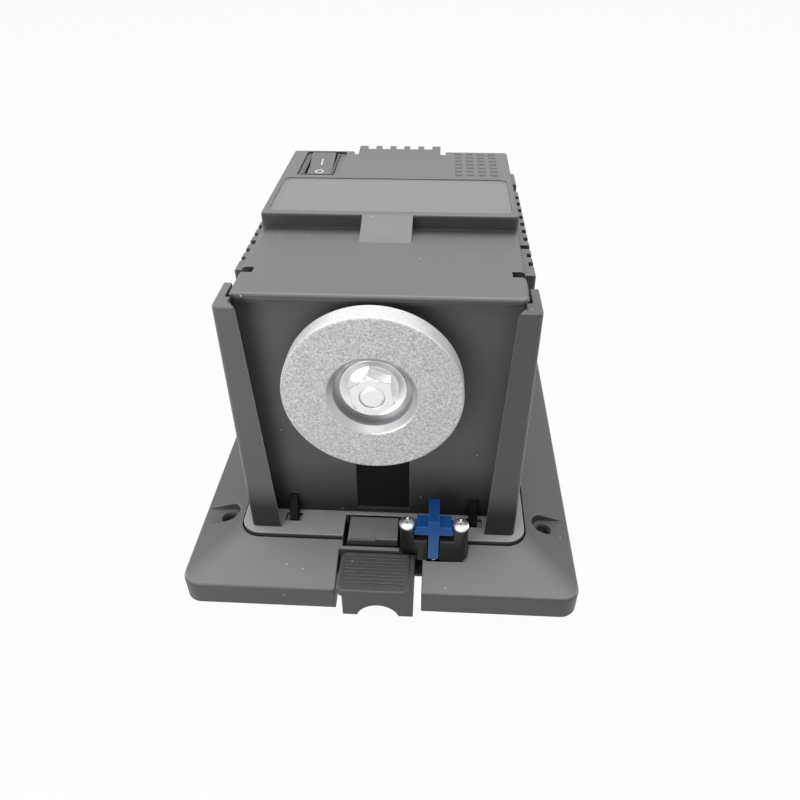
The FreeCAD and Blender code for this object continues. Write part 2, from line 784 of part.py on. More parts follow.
def post_section(lip_x, z):
    """Level section of the right-hand post: front lip, dovetail undercut, wing along the body."""
    root_x = lip_x + POST_UNDERCUT
    lip_back = POST_FRONT + POST_LIP_T
    web_y = DECK_FRONT - POST_LID_GAP
    points = [(POST_HALF, POST_FRONT), (lip_x, POST_FRONT), (root_x, lip_back), (root_x, web_y),
              (POST_WING_X, web_y), (POST_WING_X, POST_WING_BACK), (POST_HALF, POST_WING_BACK)]
    corners = [Vec(x, y, z) for x, y in points]
    return Part.makePolygon(corners + corners[:1])


def right_guide_post():
    """Post that leans in towards its foot, with a web to the panel under the lid's overhang."""
    sections = [post_section(POST_LIP_FOOT_X, SILL_Z), post_section(POST_LIP_TOP_X, POST_TOP_Z)]
    post = Part.makeLoft(sections, True, True)
    outer_corner = (POST_HALF, POST_FRONT)
    post = rounded(post, POST_EDGE_R, lambda edge, mid: is_upright(edge)
                   and math.dist((mid.x, mid.y), outer_corner) < NEAR)
    web = box(POST_LIP_TOP_X + POST_UNDERCUT, POST_WING_X, DECK_FRONT - POST_LID_GAP, PANEL_Y, SILL_Z,
              LID_SEAT_Z - POST_LID_GAP)
    post = post.fuse(web).removeSplitter()
    lip_back = POST_FRONT + POST_LIP_T
    return rounded(post, POST_TIP_R, lambda edge, mid: abs(mid.z - POST_TOP_Z) < NEAR and mid.y < lip_back)


def left_guide_post():
    return mirrored(right_guide_post())


def housing():
    half = BODY_W / 2
    front = PANEL_Y + PANEL_T
    outer = box(-half, half, front, BODY_BACK, SILL_Z, LID_SEAT_Z)
    outer = rounded(outer, BODY_R, lambda edge, mid: is_upright(edge) and mid.y > BODY_BACK - NEAR)
    inner_x, inner_back = half - BODY_WALL, BODY_BACK - BODY_WALL
    shell = outer.cut(box(-inner_x, inner_x, front - PAST, inner_back, 0, LID_SEAT_Z + PAST))
    columns = []
    for x, y in column_places():
        columns.append(upright(x, y, SILL_Z, COLUMN_TOP_Z, COLUMN_R))
        columns.append(side_box(math.copysign(1, x), COLUMN_X, inner_x + PAST, y - COLUMN_WEB_T / 2,
                                y + COLUMN_WEB_T / 2, SILL_Z, COLUMN_TOP_Z))
    shell = shell.multiFuse(columns)
    hole_top = SILL_Z + COLUMN_SCREW_L + PAST
    cuts = [upright(x, y, SILL_Z - PAST, hole_top, COLUMN_SCREW_R) for x, y in column_places()]
    for side in SIDES:
        cuts.append(side_box(side, inner_x - PAST, half + PAST, SIDE_SLOT_Y0, SIDE_SLOT_Y1,
                             LID_SEAT_Z - SIDE_SLOT_DEPTH, LID_SEAT_Z + PAST))
        cuts.append(side_box(side, inner_x - PAST, half + PAST, VENT_FRONT, VENT_BACK,
                             SLOT_LOW_Z, SLOT_HIGH_Z))
    cuts.append(box(-REAR_VENT_X, REAR_VENT_X, inner_back - PAST, BODY_BACK + PAST, REAR_SLOT_LOW_Z,
                    REAR_SLOT_HIGH_Z))
    cuts.append(lengthwise(GLAND_X, GLAND_Z, inner_back - PAST, BODY_BACK + PAST, GLAND_NECK_R))
    return shell.cut(cuts)


def right_grille():
    """Side grille whose slots run out through its top edge as open grooves."""
    inner_x = BODY_W / 2
    panel = box(inner_x, GRILLE_OUT_X, GRILLE_FRONT, GRILLE_BACK, GRILLE_FOOT_Z, GRILLE_TOP_Z)
    panel = rounded(panel, GRILLE_EDGE_R, lambda edge, mid: mid.x > GRILLE_OUT_X - NEAR)
    far_x = GRILLE_OUT_X + PAST
    cuts = []
    for k in range(SLOT_COUNT):
        y0 = SLOT_FIRST_Y + k * SLOT_PITCH - SLOT_W / 2
        groove_x = inner_x + (NOTCH_SKIN if k == NOTCH_SLOT else GRILLE_SKIN)
        cuts.append(box(inner_x - PAST, far_x, y0, y0 + SLOT_W, SLOT_LOW_Z, SLOT_HIGH_Z))
        cuts.append(box(groove_x, far_x, y0, y0 + SLOT_W, SLOT_LOW_Z, GRILLE_TOP_Z + PAST))
    wide_y = WIDE_SLOT_Y - WIDE_SLOT_W / 2
    cuts.append(box(inner_x + GRILLE_SKIN, far_x, wide_y, wide_y + WIDE_SLOT_W,
                    SLOT_LOW_Z, GRILLE_TOP_Z + PAST))
    return panel.cut(cuts)


def left_grille():
    return mirrored(right_grille())


def rear_grille():
    """Back vent that hooks over the roof, whose sloped crest is notched into a row of teeth."""
    hook = side_profile([(HUMP_FRONT, ROOF_Z), (HUMP_BACK, HUMP_Z), (HUMP_BACK, REAR_GRILLE_FOOT_Z),
                         (BODY_BACK, REAR_GRILLE_FOOT_Z), (BODY_BACK, ROOF_Z)], -HUMP_X, HUMP_X)
    first_x = -TOOTH_PITCH * (TOOTH_COUNT - 1) / 2
    cuts = []
    for k in range(TOOTH_COUNT - 1):
        x0 = first_x + k * TOOTH_PITCH + TOOTH_W / 2
        x1 = x0 + TOOTH_PITCH - TOOTH_W
        cuts.append(box(x0, x1, BODY_BACK - PAST, HUMP_BACK + PAST, REAR_SLOT_LOW_Z, REAR_SLOT_HIGH_Z))
        cuts.append(box(x0, x1, HUMP_BACK - REAR_GROOVE, HUMP_BACK + PAST, REAR_SLOT_LOW_Z, HUMP_Z + PAST))
        cuts.append(box(x0, x1, BODY_BACK, HUMP_BACK + PAST, HUMP_Z - TOOTH_H, HUMP_Z + PAST))
    return hook.cut(cuts)


def lid_shell():
    """Low deck in front, raised roof behind, and the ramp between them."""
    half = BODY_W / 2
    deck = slab(-half, half, DECK_FRONT, STEP_Y + STEP_LAP, LID_SEAT_Z, DECK_Z, DECK_CORNER_R)
    deck = rounded(deck, DECK_EDGE_R, lambda edge, mid: abs(mid.z - DECK_Z) < NEAR
                   and mid.y < DECK_FRONT + DECK_CORNER_R)
    roof = slab(-half, half, STEP_Y, BODY_BACK, LID_SEAT_Z, ROOF_Z, ROOF_CORNER_R)
    roof = rounded(roof, ROOF_EDGE_R, lambda edge, mid: abs(mid.z - ROOF_Z) < NEAR)
    ramp_z = ROOF_Z - NEAR
    ramp = side_profile([(STEP_Y + PAST, ramp_z), (STEP_Y, ramp_z), (RAMP_FOOT_Y, DECK_Z),
                         (STEP_Y + PAST, DECK_Z)], RAMP_X0, RAMP_X1)
    hollow = box(-half + BODY_WALL, half - BODY_WALL, STEP_Y + BODY_WALL, BODY_BACK - BODY_WALL,
                 LID_SEAT_Z - PAST, ROOF_Z - LID_T)
    return deck.multiFuse([roof, ramp]).cut(hollow)


def lid_cuts():
    """Side slots, hook notches, plate recess, switch opening and the field of dimples."""
    top = ROOF_Z + PAST
    cuts = [slab(-PLATE_X, PLATE_X, PLATE_Y0, PLATE_Y1, ROOF_Z - PLATE_DEPTH, top, PLATE_R),
            slab(SWITCH_X - SURROUND_LEFT, SWITCH_X + SURROUND_RIGHT, SURROUND_FRONT, SURROUND_BACK,
                 ROOF_Z - SURROUND_DEPTH, top, SURROUND_R),
            box(SWITCH_X - SWITCH_HALF_X, SWITCH_X + SWITCH_HALF_X, SWITCH_Y - SWITCH_HALF_Y,
                SWITCH_Y + SWITCH_HALF_Y, LID_SEAT_Z, top)]
    for side in SIDES:
        cuts.append(side_box(side, SIDE_SLOT_X, BODY_W / 2 + PAST, SIDE_SLOT_Y0, SIDE_SLOT_Y1,
                             LID_SEAT_Z - PAST, DECK_Z + PAST))
        cuts.append(side_box(side, HUMP_X, HUMP_X + HUMP_NOTCH_W, BODY_BACK - HUMP_NOTCH_L, BODY_BACK + PAST,
                             ROOF_Z - LID_T, top))
    for row in range(DIMPLE_ROWS):
        for column in range(DIMPLE_COLUMNS):
            x = DIMPLE_X0 + column * DIMPLE_PITCH_X
            y = DIMPLE_Y0 + row * DIMPLE_PITCH_Y
            cuts.append(box(x - DIMPLE_X, x + DIMPLE_X, y - DIMPLE_Y, y + DIMPLE_Y,
                            ROOF_Z - DIMPLE_DEPTH, top))
    return cuts


def top_cover():
    return lid_shell().cut(lid_cuts())


def switch_frame():
    body = box(SWITCH_X - SWITCH_HALF_X, SWITCH_X + SWITCH_HALF_X, SWITCH_Y - SWITCH_HALF_Y,
               SWITCH_Y + SWITCH_HALF_Y, SWITCH_FOOT_Z, SWITCH_TOP_Z)
    well_x = ROCKER_W / 2 + WELL_GAP_X
    well_y = ROCKER_R + WELL_GAP_Y
    well = box(SWITCH_X - well_x, SWITCH_X + well_x, SWITCH_Y - well_y, SWITCH_Y + well_y, SWITCH_WELL_Z,
               SWITCH_TOP_Z + PAST)
    pivot_x = ROCKER_W / 2 + PIVOT_STUB + STUB_END_GAP
    pivot = crosswise(SWITCH_Y, SWITCH_PIVOT_Z, SWITCH_X - pivot_x, SWITCH_X + pivot_x,
                      PIVOT_STUB_R + STUB_FIT)
    return body.cut([well, pivot])


def switch_rocker():
    """Rocker with a shallow valley, its ends turned about the pivot, tilted with its front end down."""
    end_z = SWITCH_PIVOT_Z + ROCKER_END_H
    valley_z = SWITCH_PIVOT_Z + ROCKER_VALLEY_H
    keel_z = SWITCH_PIVOT_Z - ROCKER_KEEL_H
    side_z = keel_z + ROCKER_KEEL_RISE
    y0, y1 = SWITCH_Y - ROCKER_R, SWITCH_Y + ROCKER_R
    half = ROCKER_W / 2
    body = side_profile([(y0, side_z), (SWITCH_Y - ROCKER_KEEL_HALF, keel_z),
                         (SWITCH_Y + ROCKER_KEEL_HALF, keel_z), (y1, side_z), (y1, end_z),
                         (SWITCH_Y, valley_z), (y0, end_z)], SWITCH_X - half, SWITCH_X + half)
    body = body.common(crosswise(SWITCH_Y, SWITCH_PIVOT_Z, SWITCH_X - ROCKER_W, SWITCH_X + ROCKER_W, ROCKER_R))
    stub_x = half + PIVOT_STUB
    stubs = crosswise(SWITCH_Y, SWITCH_PIVOT_Z, SWITCH_X - stub_x, SWITCH_X + stub_x, PIVOT_STUB_R)
    rocker = body.fuse(stubs).removeSplitter()
    rocker.rotate(Vec(SWITCH_X, SWITCH_Y, SWITCH_PIVOT_Z), RIGHT, ROCKER_TILT)
    return rocker


def switch_terminals():
    x0, x1 = SWITCH_X - BLADE_T / 2, SWITCH_X + BLADE_T / 2
    blades = []
    for offset in BLADE_YS:
        y = SWITCH_Y + offset
        blade = box(x0, x1, y - BLADE_HALF, y + BLADE_HALF, BLADE_FOOT_Z, SWITCH_FOOT_Z)
        blades.append(blade.cut(crosswise(y, BLADE_HOLE_Z, x0 - PAST, x1 + PAST, BLADE_HOLE_R)))
    return Part.makeCompound(blades)


def motor_cradle():
    """Foot plate with two yokes that hold the stator, and an ear on each side for the strap."""
    floor_z = SEAT_Z + CRADLE_T
    plate = slab(SPINDLE_X - CRADLE_X, SPINDLE_X + CRADLE_X, CRADLE_FRONT, CRADLE_BACK, SEAT_Z, floor_z,
                 CRADLE_R)
    pieces = []
    for y in YOKE_YS:
        yoke = box(SPINDLE_X - YOKE_X, SPINDLE_X + YOKE_X, y, y + YOKE_T, floor_z, EAR_Z)
        window = box(SPINDLE_X - YOKE_WINDOW_X, SPINDLE_X + YOKE_WINDOW_X, y - PAST, y + YOKE_T + PAST,
                     SEAT_Z + YOKE_WINDOW_LOW, SEAT_Z + YOKE_WINDOW_HIGH)
        pieces.append(yoke.cut(window))
    for side in SIDES:
        ear = side_box(side, EAR_IN_X, EAR_OUT_X, YOKE_YS[0], YOKE_YS[1] + YOKE_T, EAR_Z - EAR_T, EAR_Z)
        ear.translate(RIGHT * SPINDLE_X)
        pieces.append(ear)
    cuts = [on_spindle(CRADLE_FRONT - PAST, CRADLE_BACK + PAST, STATOR_R)]
    cuts += [upright(x, y, 0, floor_z + PAST, CRADLE_SCREW_R + FIT) for x, y in cradle_screw_places()]
    cuts += [upright(x, y, EAR_Z - EAR_T - PAST, EAR_Z + PAST, STRAP_SCREW_R + FIT)
             for x, y in ear_screw_places()]
    return plate.multiFuse(pieces).cut(cuts).removeSplitter()


def cradle_screws():
    seat = SEAT_Z + CRADLE_T
    return Part.makeCompound([pan_screw(x, y, seat, CRADLE_SCREW_L, CRADLE_SCREW_R, CRADLE_HEAD_R)
                              for x, y in cradle_screw_places()])


def motor_strap():
    band = tube(STRAP_Y0, STRAP_Y1, STATOR_R, STATOR_R + STRAP_T)
    reach = STATOR_R + STRAP_T
    band = band.common(box(SPINDLE_X - reach, SPINDLE_X + reach, STRAP_Y0, STRAP_Y1, EAR_Z, SPINDLE_Z + reach))
    ears = []
    for side in SIDES:
        ear = side_box(side, EAR_IN_X, EAR_OUT_X, STRAP_Y0, STRAP_Y1, EAR_Z, EAR_Z + STRAP_T)
        ear.translate(RIGHT * SPINDLE_X)
        ears.append(ear)
    cuts = [on_spindle(STRAP_Y0 - PAST, STRAP_Y1 + PAST, STATOR_R)]
    cuts += [upright(x, y, EAR_Z - PAST, EAR_Z + STRAP_T + PAST, STRAP_SCREW_R + FIT)
             for x, y in ear_screw_places()]
    return band.multiFuse(ears).cut(cuts).removeSplitter()


def strap_screws():
    seat = EAR_Z + STRAP_T
    return Part.makeCompound([pan_screw(x, y, seat, STRAP_SCREW_L, STRAP_SCREW_R, STRAP_HEAD_R)
                              for x, y in ear_screw_places()])


def stator_core():
    """Laminated ring with four poles, their shoes round the bore and the bolt holes between them."""
    ring = tube(STATOR_Y0, STATOR_Y1, STATOR_BORE_R, STATOR_R)
    pole = spindle_box(POLE_R, STATOR_BORE_R + PAST, STATOR_Y0, STATOR_Y1, POLE_HALF)
    shoes = tube(STATOR_Y0, STATOR_Y1, SHOE_R, SHOE_R + SHOE_T)
    slot = spindle_box(0, STATOR_BORE_R, STATOR_Y0, STATOR_Y1, SHOE_GAP_HALF)
    shoes = shoes.cut(round_spindle(slot, DIAGONALS))
    hole = lengthwise(SPINDLE_X + BOLT_CIRCLE_R, SPINDLE_Z, STATOR_Y0, STATOR_Y1, BOLT_R + FIT)
    core = ring.multiFuse(round_spindle(pole, QUARTERS) + [shoes])
    return core.cut(round_spindle(hole, DIAGONALS)).removeSplitter()


def stator_coils():
    coil = spindle_box(COIL_IN_R, COIL_OUT_R, STATOR_Y0 - COIL_END, STATOR_Y1 + COIL_END, COIL_HALF)
    middle_x = SPINDLE_X + (COIL_IN_R + COIL_OUT_R) / 2
    coil = rounded(coil, COIL_CORNER_R, lambda edge, mid: abs(mid.x - middle_x) < NEAR)
    coil = coil.cut(spindle_box(POLE_R, STATOR_BORE_R, STATOR_Y0, STATOR_Y1, POLE_HALF))
    return Part.makeCompound(round_spindle(coil, QUARTERS))


def motor_bracket(arm_y, leg_y0, leg_y1, nose_y0, nose_y1):
    """Four-armed cast bracket with a nose for its bush, standing on legs against the stator."""
    hub = on_spindle(nose_y0, nose_y1, BUSH_R + BUSH_WALL)
    arm = spindle_box(0, BOLT_CIRCLE_R, arm_y, arm_y + ARM_T, ARM_HALF)
    leg = lengthwise(SPINDLE_X + BOLT_CIRCLE_R, SPINDLE_Z, leg_y0, leg_y1, ARM_HALF)
    hole = lengthwise(SPINDLE_X + BOLT_CIRCLE_R, SPINDLE_Z, leg_y0 - PAST, leg_y1 + PAST, BOLT_R + FIT)
    bracket = hub.multiFuse(round_spindle(arm.fuse(leg), DIAGONALS))
    cuts = round_spindle(hole, DIAGONALS) + [on_spindle(nose_y0 - PAST, nose_y1 + PAST, BUSH_R)]
    return bracket.cut(cuts).removeSplitter()


def front_motor_bracket():
    return motor_bracket(FRONT_ARM_Y, FRONT_ARM_Y, STATOR_Y0, FRONT_ARM_Y - NOSE_L, FRONT_ARM_Y + ARM_T)


def rear_motor_bracket():
    return motor_bracket(REAR_ARM_Y, STATOR_Y1, REAR_ARM_Y + ARM_T, REAR_ARM_Y, REAR_ARM_Y + NOSE_L)


def motor_bolts():
    x, z = SPINDLE_X + BOLT_CIRCLE_R, SPINDLE_Z
    nut_y = REAR_ARM_Y + ARM_T
    head = hexagon(BOLT_AF, FRONT_ARM_Y - BOLT_HEAD, FRONT_ARM_Y, x, z, 0)
    nut = hexagon(BOLT_AF, nut_y, nut_y + BOLT_NUT, x, z, 0)
    shank = lengthwise(x, z, FRONT_ARM_Y - PAST, nut_y + BOLT_TAIL, BOLT_R)
    return Part.makeCompound(round_spindle(head.multiFuse([nut, shank]), DIAGONALS))


def front_bush():
    return tube(FRONT_ARM_Y - NOSE_L, FRONT_ARM_Y + ARM_T, SHAFT_R + FIT, BUSH_R)


def rear_bush():
    return tube(REAR_ARM_Y, REAR_ARM_Y + NOSE_L, SHAFT_R + FIT, BUSH_R)


def rotor_core():
    y0, y1 = STATOR_Y0 + ROTOR_INSET, STATOR_Y1 - ROTOR_INSET
    core = tube(y0, y1, SHAFT_R, ROTOR_R)
    rings = [tube(y0 - END_RING_T, y0, END_RING_IN_R, END_RING_OUT_R),
             tube(y1, y1 + END_RING_T, END_RING_IN_R, END_RING_OUT_R)]
    return core.multiFuse(rings).removeSplitter()


def spindle_shaft():
    nose_y = WHEEL_FRONT - SHAFT_NOSE
    return turned([(nose_y, 0), (nose_y, SHAFT_R - SHAFT_CHAMFER), (nose_y + SHAFT_CHAMFER, SHAFT_R),
                   (SHOULDER_Y, SHAFT_R), (SHOULDER_Y, SHOULDER_R), (SHOULDER_BACK_Y, SHOULDER_R),
                   (SHOULDER_BACK_Y, SHAFT_R), (SHAFT_BACK - SHAFT_BACK_CHAMFER, SHAFT_R),
                   (SHAFT_BACK, SHAFT_R - SHAFT_BACK_CHAMFER), (SHAFT_BACK, 0)])


def cooling_fan():
    disc = tube(FAN_Y, FAN_Y + FAN_DISC_T, SHAFT_R, FAN_R)
    hub = tube(FAN_Y, FAN_Y + FAN_L, SHAFT_R, FAN_HUB_R)
    blade = spindle_box(FAN_HUB_R - PAST, FAN_R - FIT, FAN_Y + FAN_DISC_T / 2, FAN_Y + FAN_L, FAN_BLADE_T / 2)
    blades = round_spindle(blade, [k * 360 / FAN_BLADES for k in range(FAN_BLADES)])
    return disc.multiFuse([hub] + blades).removeSplitter()


def grinding_wheel():
    """Wheel with rounded rims and a dished centre."""
    bottom_r = RECESS_R - RECESS_CHAMFER
    wheel = turned([(WHEEL_FRONT, RECESS_R), (WHEEL_FRONT, WHEEL_R), (WHEEL_BACK, WHEEL_R),
                    (WHEEL_BACK, SHAFT_R), (RECESS_Y, SHAFT_R), (RECESS_Y, bottom_r),
                    (WHEEL_FRONT + RECESS_CHAMFER, bottom_r)])
    wheel = rounded(wheel, WHEEL_EDGE_R, lambda edge, mid: is_rim(edge, WHEEL_R, WHEEL_FRONT))
    return rounded(wheel, WHEEL_BACK_R, lambda edge, mid: is_rim(edge, WHEEL_R, WHEEL_BACK))


def backing_flange():
    return turned([(WHEEL_BACK, SHAFT_R), (WHEEL_BACK, BACKING_R), (WHEEL_BACK + BACKING_T, BACKING_R),
                   (SHOULDER_Y, BACKING_HUB_R), (SHOULDER_Y, SHAFT_R)])


def cup_washer():
    rim_y, floor_y = RECESS_Y - CUP_RIM, RECESS_Y - CUP_FLOOR
    return turned([(RECESS_Y, SHAFT_R), (RECESS_Y, CUP_R), (rim_y, CUP_R), (rim_y, CUP_RIM_R),
                   (floor_y, CUP_FLOOR_R), (floor_y, SHAFT_R)])


def wheel_nut():
    seat = RECESS_Y - CUP_FLOOR
    corner_r = NUT_AF / math.sqrt(3)
    nut = hexagon(NUT_AF, NUT_FRONT, seat, SPINDLE_X, SPINDLE_Z, NUT_TURN)
    cone = turned([(NUT_FRONT, 0), (NUT_FRONT, NUT_AF / 2 - NEAR), (NUT_FRONT + NUT_CHAMFER, corner_r),
                   (seat, corner_r), (seat, 0)])
    return nut.common(cone).cut(on_spindle(NUT_FRONT - PAST, seat + PAST, SHAFT_R))


def lever_cap():
    """Cap of the thumb pad, with a rounded rim round its grip grooves."""
    cap = slab(LEVER_CAP_X0, LEVER_CAP_X1, LEVER_FRONT, LEVER_PAD_BACK, LEVER_TOP_Z - LEVER_CAP_T, LEVER_TOP_Z,
               LEVER_CAP_R)
    cap = rounded(cap, LEVER_CAP_EDGE_R, lambda edge, mid: mid.z > LEVER_TOP_Z - NEAR)
    grooves = []
    for k in range(GRIP_COUNT):
        y = LEVER_FRONT + GRIP_SET_BACK + k * GRIP_PITCH
        grooves.append(box(LEVER_CAP_X0 + GRIP_MARGIN, LEVER_CAP_X1 - GRIP_MARGIN, y, y + GRIP_W,
                           LEVER_TOP_Z - GRIP_DEPTH, LEVER_TOP_Z + PAST))
    return cap.cut(grooves)


def lever_pad():
    """Hollow thumb pad under its cap, with a finger arch in front."""
    front = LEVER_FRONT + LEVER_CAP_NOSE
    pad = box(-LEVER_HALF, LEVER_HALF, front, LEVER_PAD_BACK, FOOT_H, LEVER_TOP_Z - LEVER_CAP_RISE)
    inner_x = LEVER_HALF - LEVER_WALL
    inner_front = front + LEVER_FRONT_WALL
    arch_r = (ARCH_HALF ** 2 + ARCH_H ** 2) / (2 * ARCH_H)
    arch = lengthwise(0, FOOT_H + ARCH_H - arch_r, front - PAST, inner_front + PAST, arch_r)
    hollow = box(-inner_x, inner_x, inner_front, LEVER_PAD_BACK + PAST, 0, LEVER_TOP_Z - LEVER_ROOF_T)
    return pad.fuse(lever_cap()).cut([hollow, arch])


def release_lever():
    """Thumb pad, arm under the plinth, latch head with its catch, and the pivot barrel."""
    arm = box(-LEVER_HALF, LATCH_X1, ARM_FRONT, PIVOT_Y, ARM_LOW_Z, ARM_HIGH_Z)
    riser = box(-LEVER_HALF, LATCH_X1, ARM_FRONT, LEVER_PAD_BACK, ARM_LOW_Z, LEVER_TOP_Z - LEVER_WALL)
    head = box(-LEVER_HALF, LATCH_X1, LATCH_FRONT, LATCH_BACK, ARM_LOW_Z, SILL_Z)
    head = rounded(head, LATCH_EDGE_R, lambda edge, mid: mid.z > SILL_Z - NEAR)
    catch = box(CATCH_X0, LATCH_X1, LATCH_FRONT, LATCH_FRONT + CATCH_L, SILL_Z - CATCH_ROOT, SILL_Z + CATCH_H)
    barrel = crosswise(PIVOT_Y, PIVOT_Z, -LEVER_HALF, LATCH_X1, BARREL_R)
    lever = lever_pad().multiFuse([arm, riser, head, catch, barrel]).removeSplitter()
    return lever.cut(crosswise(PIVOT_Y, PIVOT_Z, PIN_X0, PIN_X1, PIVOT_R + PIVOT_FIT))


def lever_pivot_pin():
    return crosswise(PIVOT_Y, PIVOT_Z, PIN_X0, PIN_X1, PIVOT_R)


def lever_spring():
    return coil_spring("lever_spring", LEVER_SPRING_X, LEVER_SPRING_Y, FOOT_H + BOTTOM_T, ARM_LOW_Z,
                       LEVER_SPRING_R, LEVER_SPRING_WIRE)


def interlock_block():
    """Upright block with a cross-shaped way for the plunger, a notch over the lever and two pegs."""
    block = slab(BLOCK_X0, BLOCK_X1, BLOCK_FRONT, BLOCK_BACK, BLOCK_FOOT_Z, BLOCK_TOP_Z, BLOCK_R)
    block = block.multiFuse([upright(x, y, CEILING_Z, BLOCK_FOOT_Z, PEG_R) for x, y in PEG_PLACES])
    slot_half = PLUNGER_W / 2 + PLUNGER_SLOT_GAP
    x0, x1 = PLUNGER_X - slot_half, PLUNGER_X + slot_half
    front, back, top = BLOCK_FRONT - PAST, BLOCK_BACK + PAST, BLOCK_TOP_Z + PAST
    cuts = [box(BLOCK_X0 - PAST, BLOCK_NOTCH_X, front, BLOCK_NOTCH_BACK, 0, BLOCK_NOTCH_Z),
            box(x0, x1, front, LEG_SLOT_BACK, 0, top),
            box(x0, x1, LEG_Y, back, BLOCK_SLOT_Z, top),
            box(PLUNGER_X - BLOCK_RECESS_X, PLUNGER_X + BLOCK_RECESS_X, front, back,
                BLOCK_TOP_Z - BLOCK_RECESS_DEPTH, top)]
    hole_z = BLOCK_TOP_Z - BLOCK_SCREW_L - PAST
    cuts += [upright(x, y, hole_z, top, BLOCK_SCREW_R) for x, y in block_screw_places()]
    return block.cut(cuts)


def interlock_screws():
    floor_z = BLOCK_TOP_Z + CROSS_FLOOR
    top = BLOCK_TOP_Z + PAN_HEAD_H + PAST
    screws = []
    for x, y in block_screw_places():
        screw = pan_screw(x, y, BLOCK_TOP_Z, BLOCK_SCREW_L, BLOCK_SCREW_R, BLOCK_HEAD_R)
        cross = [box(x - CROSS_HALF_L, x + CROSS_HALF_L, y - CROSS_HALF_W, y + CROSS_HALF_W, floor_z, top),
                 box(x - CROSS_HALF_W, x + CROSS_HALF_W, y - CROSS_HALF_L, y + CROSS_HALF_L, floor_z, top)]
        screws.append(screw.cut(cross))
    return Part.makeCompound(screws)


def interlock_plunger():
    """Cross-shaped slide: a web with a long foot in front, and a bar held under the two screw heads."""
    half = PLUNGER_W / 2
    leg_front, leg_back = LEG_Y - LEG_HALF, LEG_Y + LEG_HALF
    web = side_profile([(leg_front, LEG_FOOT_Z), (leg_back, LEG_FOOT_Z), (leg_back, PLUNGER_WEB_Z),
                        (PLUNGER_BACK, PLUNGER_WEB_Z), (PLUNGER_BACK, PLUNGER_TOP_Z),
                        (leg_front, PLUNGER_TOP_Z)], PLUNGER_X - half, PLUNGER_X + half)
    low_z = BLOCK_TOP_Z - BAR_LOW
    bar = box(PLUNGER_X - BAR_X, PLUNGER_X + BAR_X, BAR_FRONT, BAR_BACK, low_z, BLOCK_TOP_Z + BAR_HIGH)
    lips = box(PLUNGER_X - BAR_LIP_X, PLUNGER_X + BAR_LIP_X, BAR_FRONT, BAR_BACK, low_z,
               BLOCK_TOP_Z - BAR_LIP_DROP)
    return web.multiFuse([bar, lips]).removeSplitter()


def interlock_switch():
    body = box(MICRO_X0, MICRO_X1, MICRO_FRONT, MICRO_BACK, FOOT_H + BOTTOM_T, MICRO_TOP_Z)
    return body.cut(upright(PLUNGER_X, LEG_Y, MICRO_WELL_Z, MICRO_TOP_Z + PAST, BUTTON_R + BUTTON_FIT))


def interlock_button():
    return upright(PLUNGER_X, LEG_Y, BUTTON_FOOT_Z, LEG_FOOT_Z, BUTTON_R)


def plunger_spring():
    return coil_spring("plunger_spring", PLUNGER_X, LEG_Y, MICRO_TOP_Z, LEG_FOOT_Z, PLUNGER_SPRING_R,
                       PLUNGER_SPRING_WIRE)


def cable_gland():
    inner_y = BODY_BACK - BODY_WALL
    outer_y = BODY_BACK + GLAND_OUTER_T
    gland = lengthwise(GLAND_X, GLAND_Z, inner_y - GLAND_INNER_T, inner_y, GLAND_INNER_R)
    gland = gland.multiFuse([lengthwise(GLAND_X, GLAND_Z, inner_y, BODY_BACK, GLAND_NECK_R),
                             lengthwise(GLAND_X, GLAND_Z, BODY_BACK, outer_y, GLAND_OUTER_R)])
    gland = rounded(gland, PAST, lambda edge, mid: is_rim(edge, GLAND_OUTER_R, outer_y))
    return gland.cut(lengthwise(GLAND_X, GLAND_Z, inner_y - GLAND_INNER_T - PAST, outer_y + PAST,
                                GLAND_BORE_R))


def housing_screws():
    """Screws that come up through the base and the plinth into the housing's columns."""
    screws = []
    for x, y in column_places():
        head = upright(x, y, CEILING_Z - COLUMN_HEAD_H, CEILING_Z, COLUMN_HEAD_R)
        screws.append(head.fuse(upright(x, y, CEILING_Z, SILL_Z + COLUMN_SCREW_L, COLUMN_SCREW_R)))
    return Part.makeCompound(screws)


NODES = [base_flange, bottom_cover, rubber_feet, bottom_screws, plinth, front_panel, left_guide_post,
         right_guide_post, housing, left_grille, right_grille, rear_grille, top_cover, switch_frame,
         switch_rocker, switch_terminals, motor_cradle, cradle_screws, motor_strap, strap_screws, stator_core,
         stator_coils, front_motor_bracket, rear_motor_bracket, motor_bolts, front_bush, rear_bush,
         rotor_core, spindle_shaft, cooling_fan, grinding_wheel, backing_flange, cup_washer, wheel_nut,
         release_lever, lever_pivot_pin, lever_spring, interlock_block, interlock_plunger, interlock_screws,
         interlock_switch, interlock_button, plunger_spring, cable_gland, housing_screws]

os.makedirs("parts", exist_ok=True)
for make in NODES:
    shape = make()
    print(make.__name__, "solids", len(shape.Solids), "volume", round(shape.Volume), "valid", shape.isValid())
    shape.exportStep("parts/" + make.__name__ + ".step")
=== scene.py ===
import json
import math

import bmesh
import bpy
from mathutils import Matrix, Vector


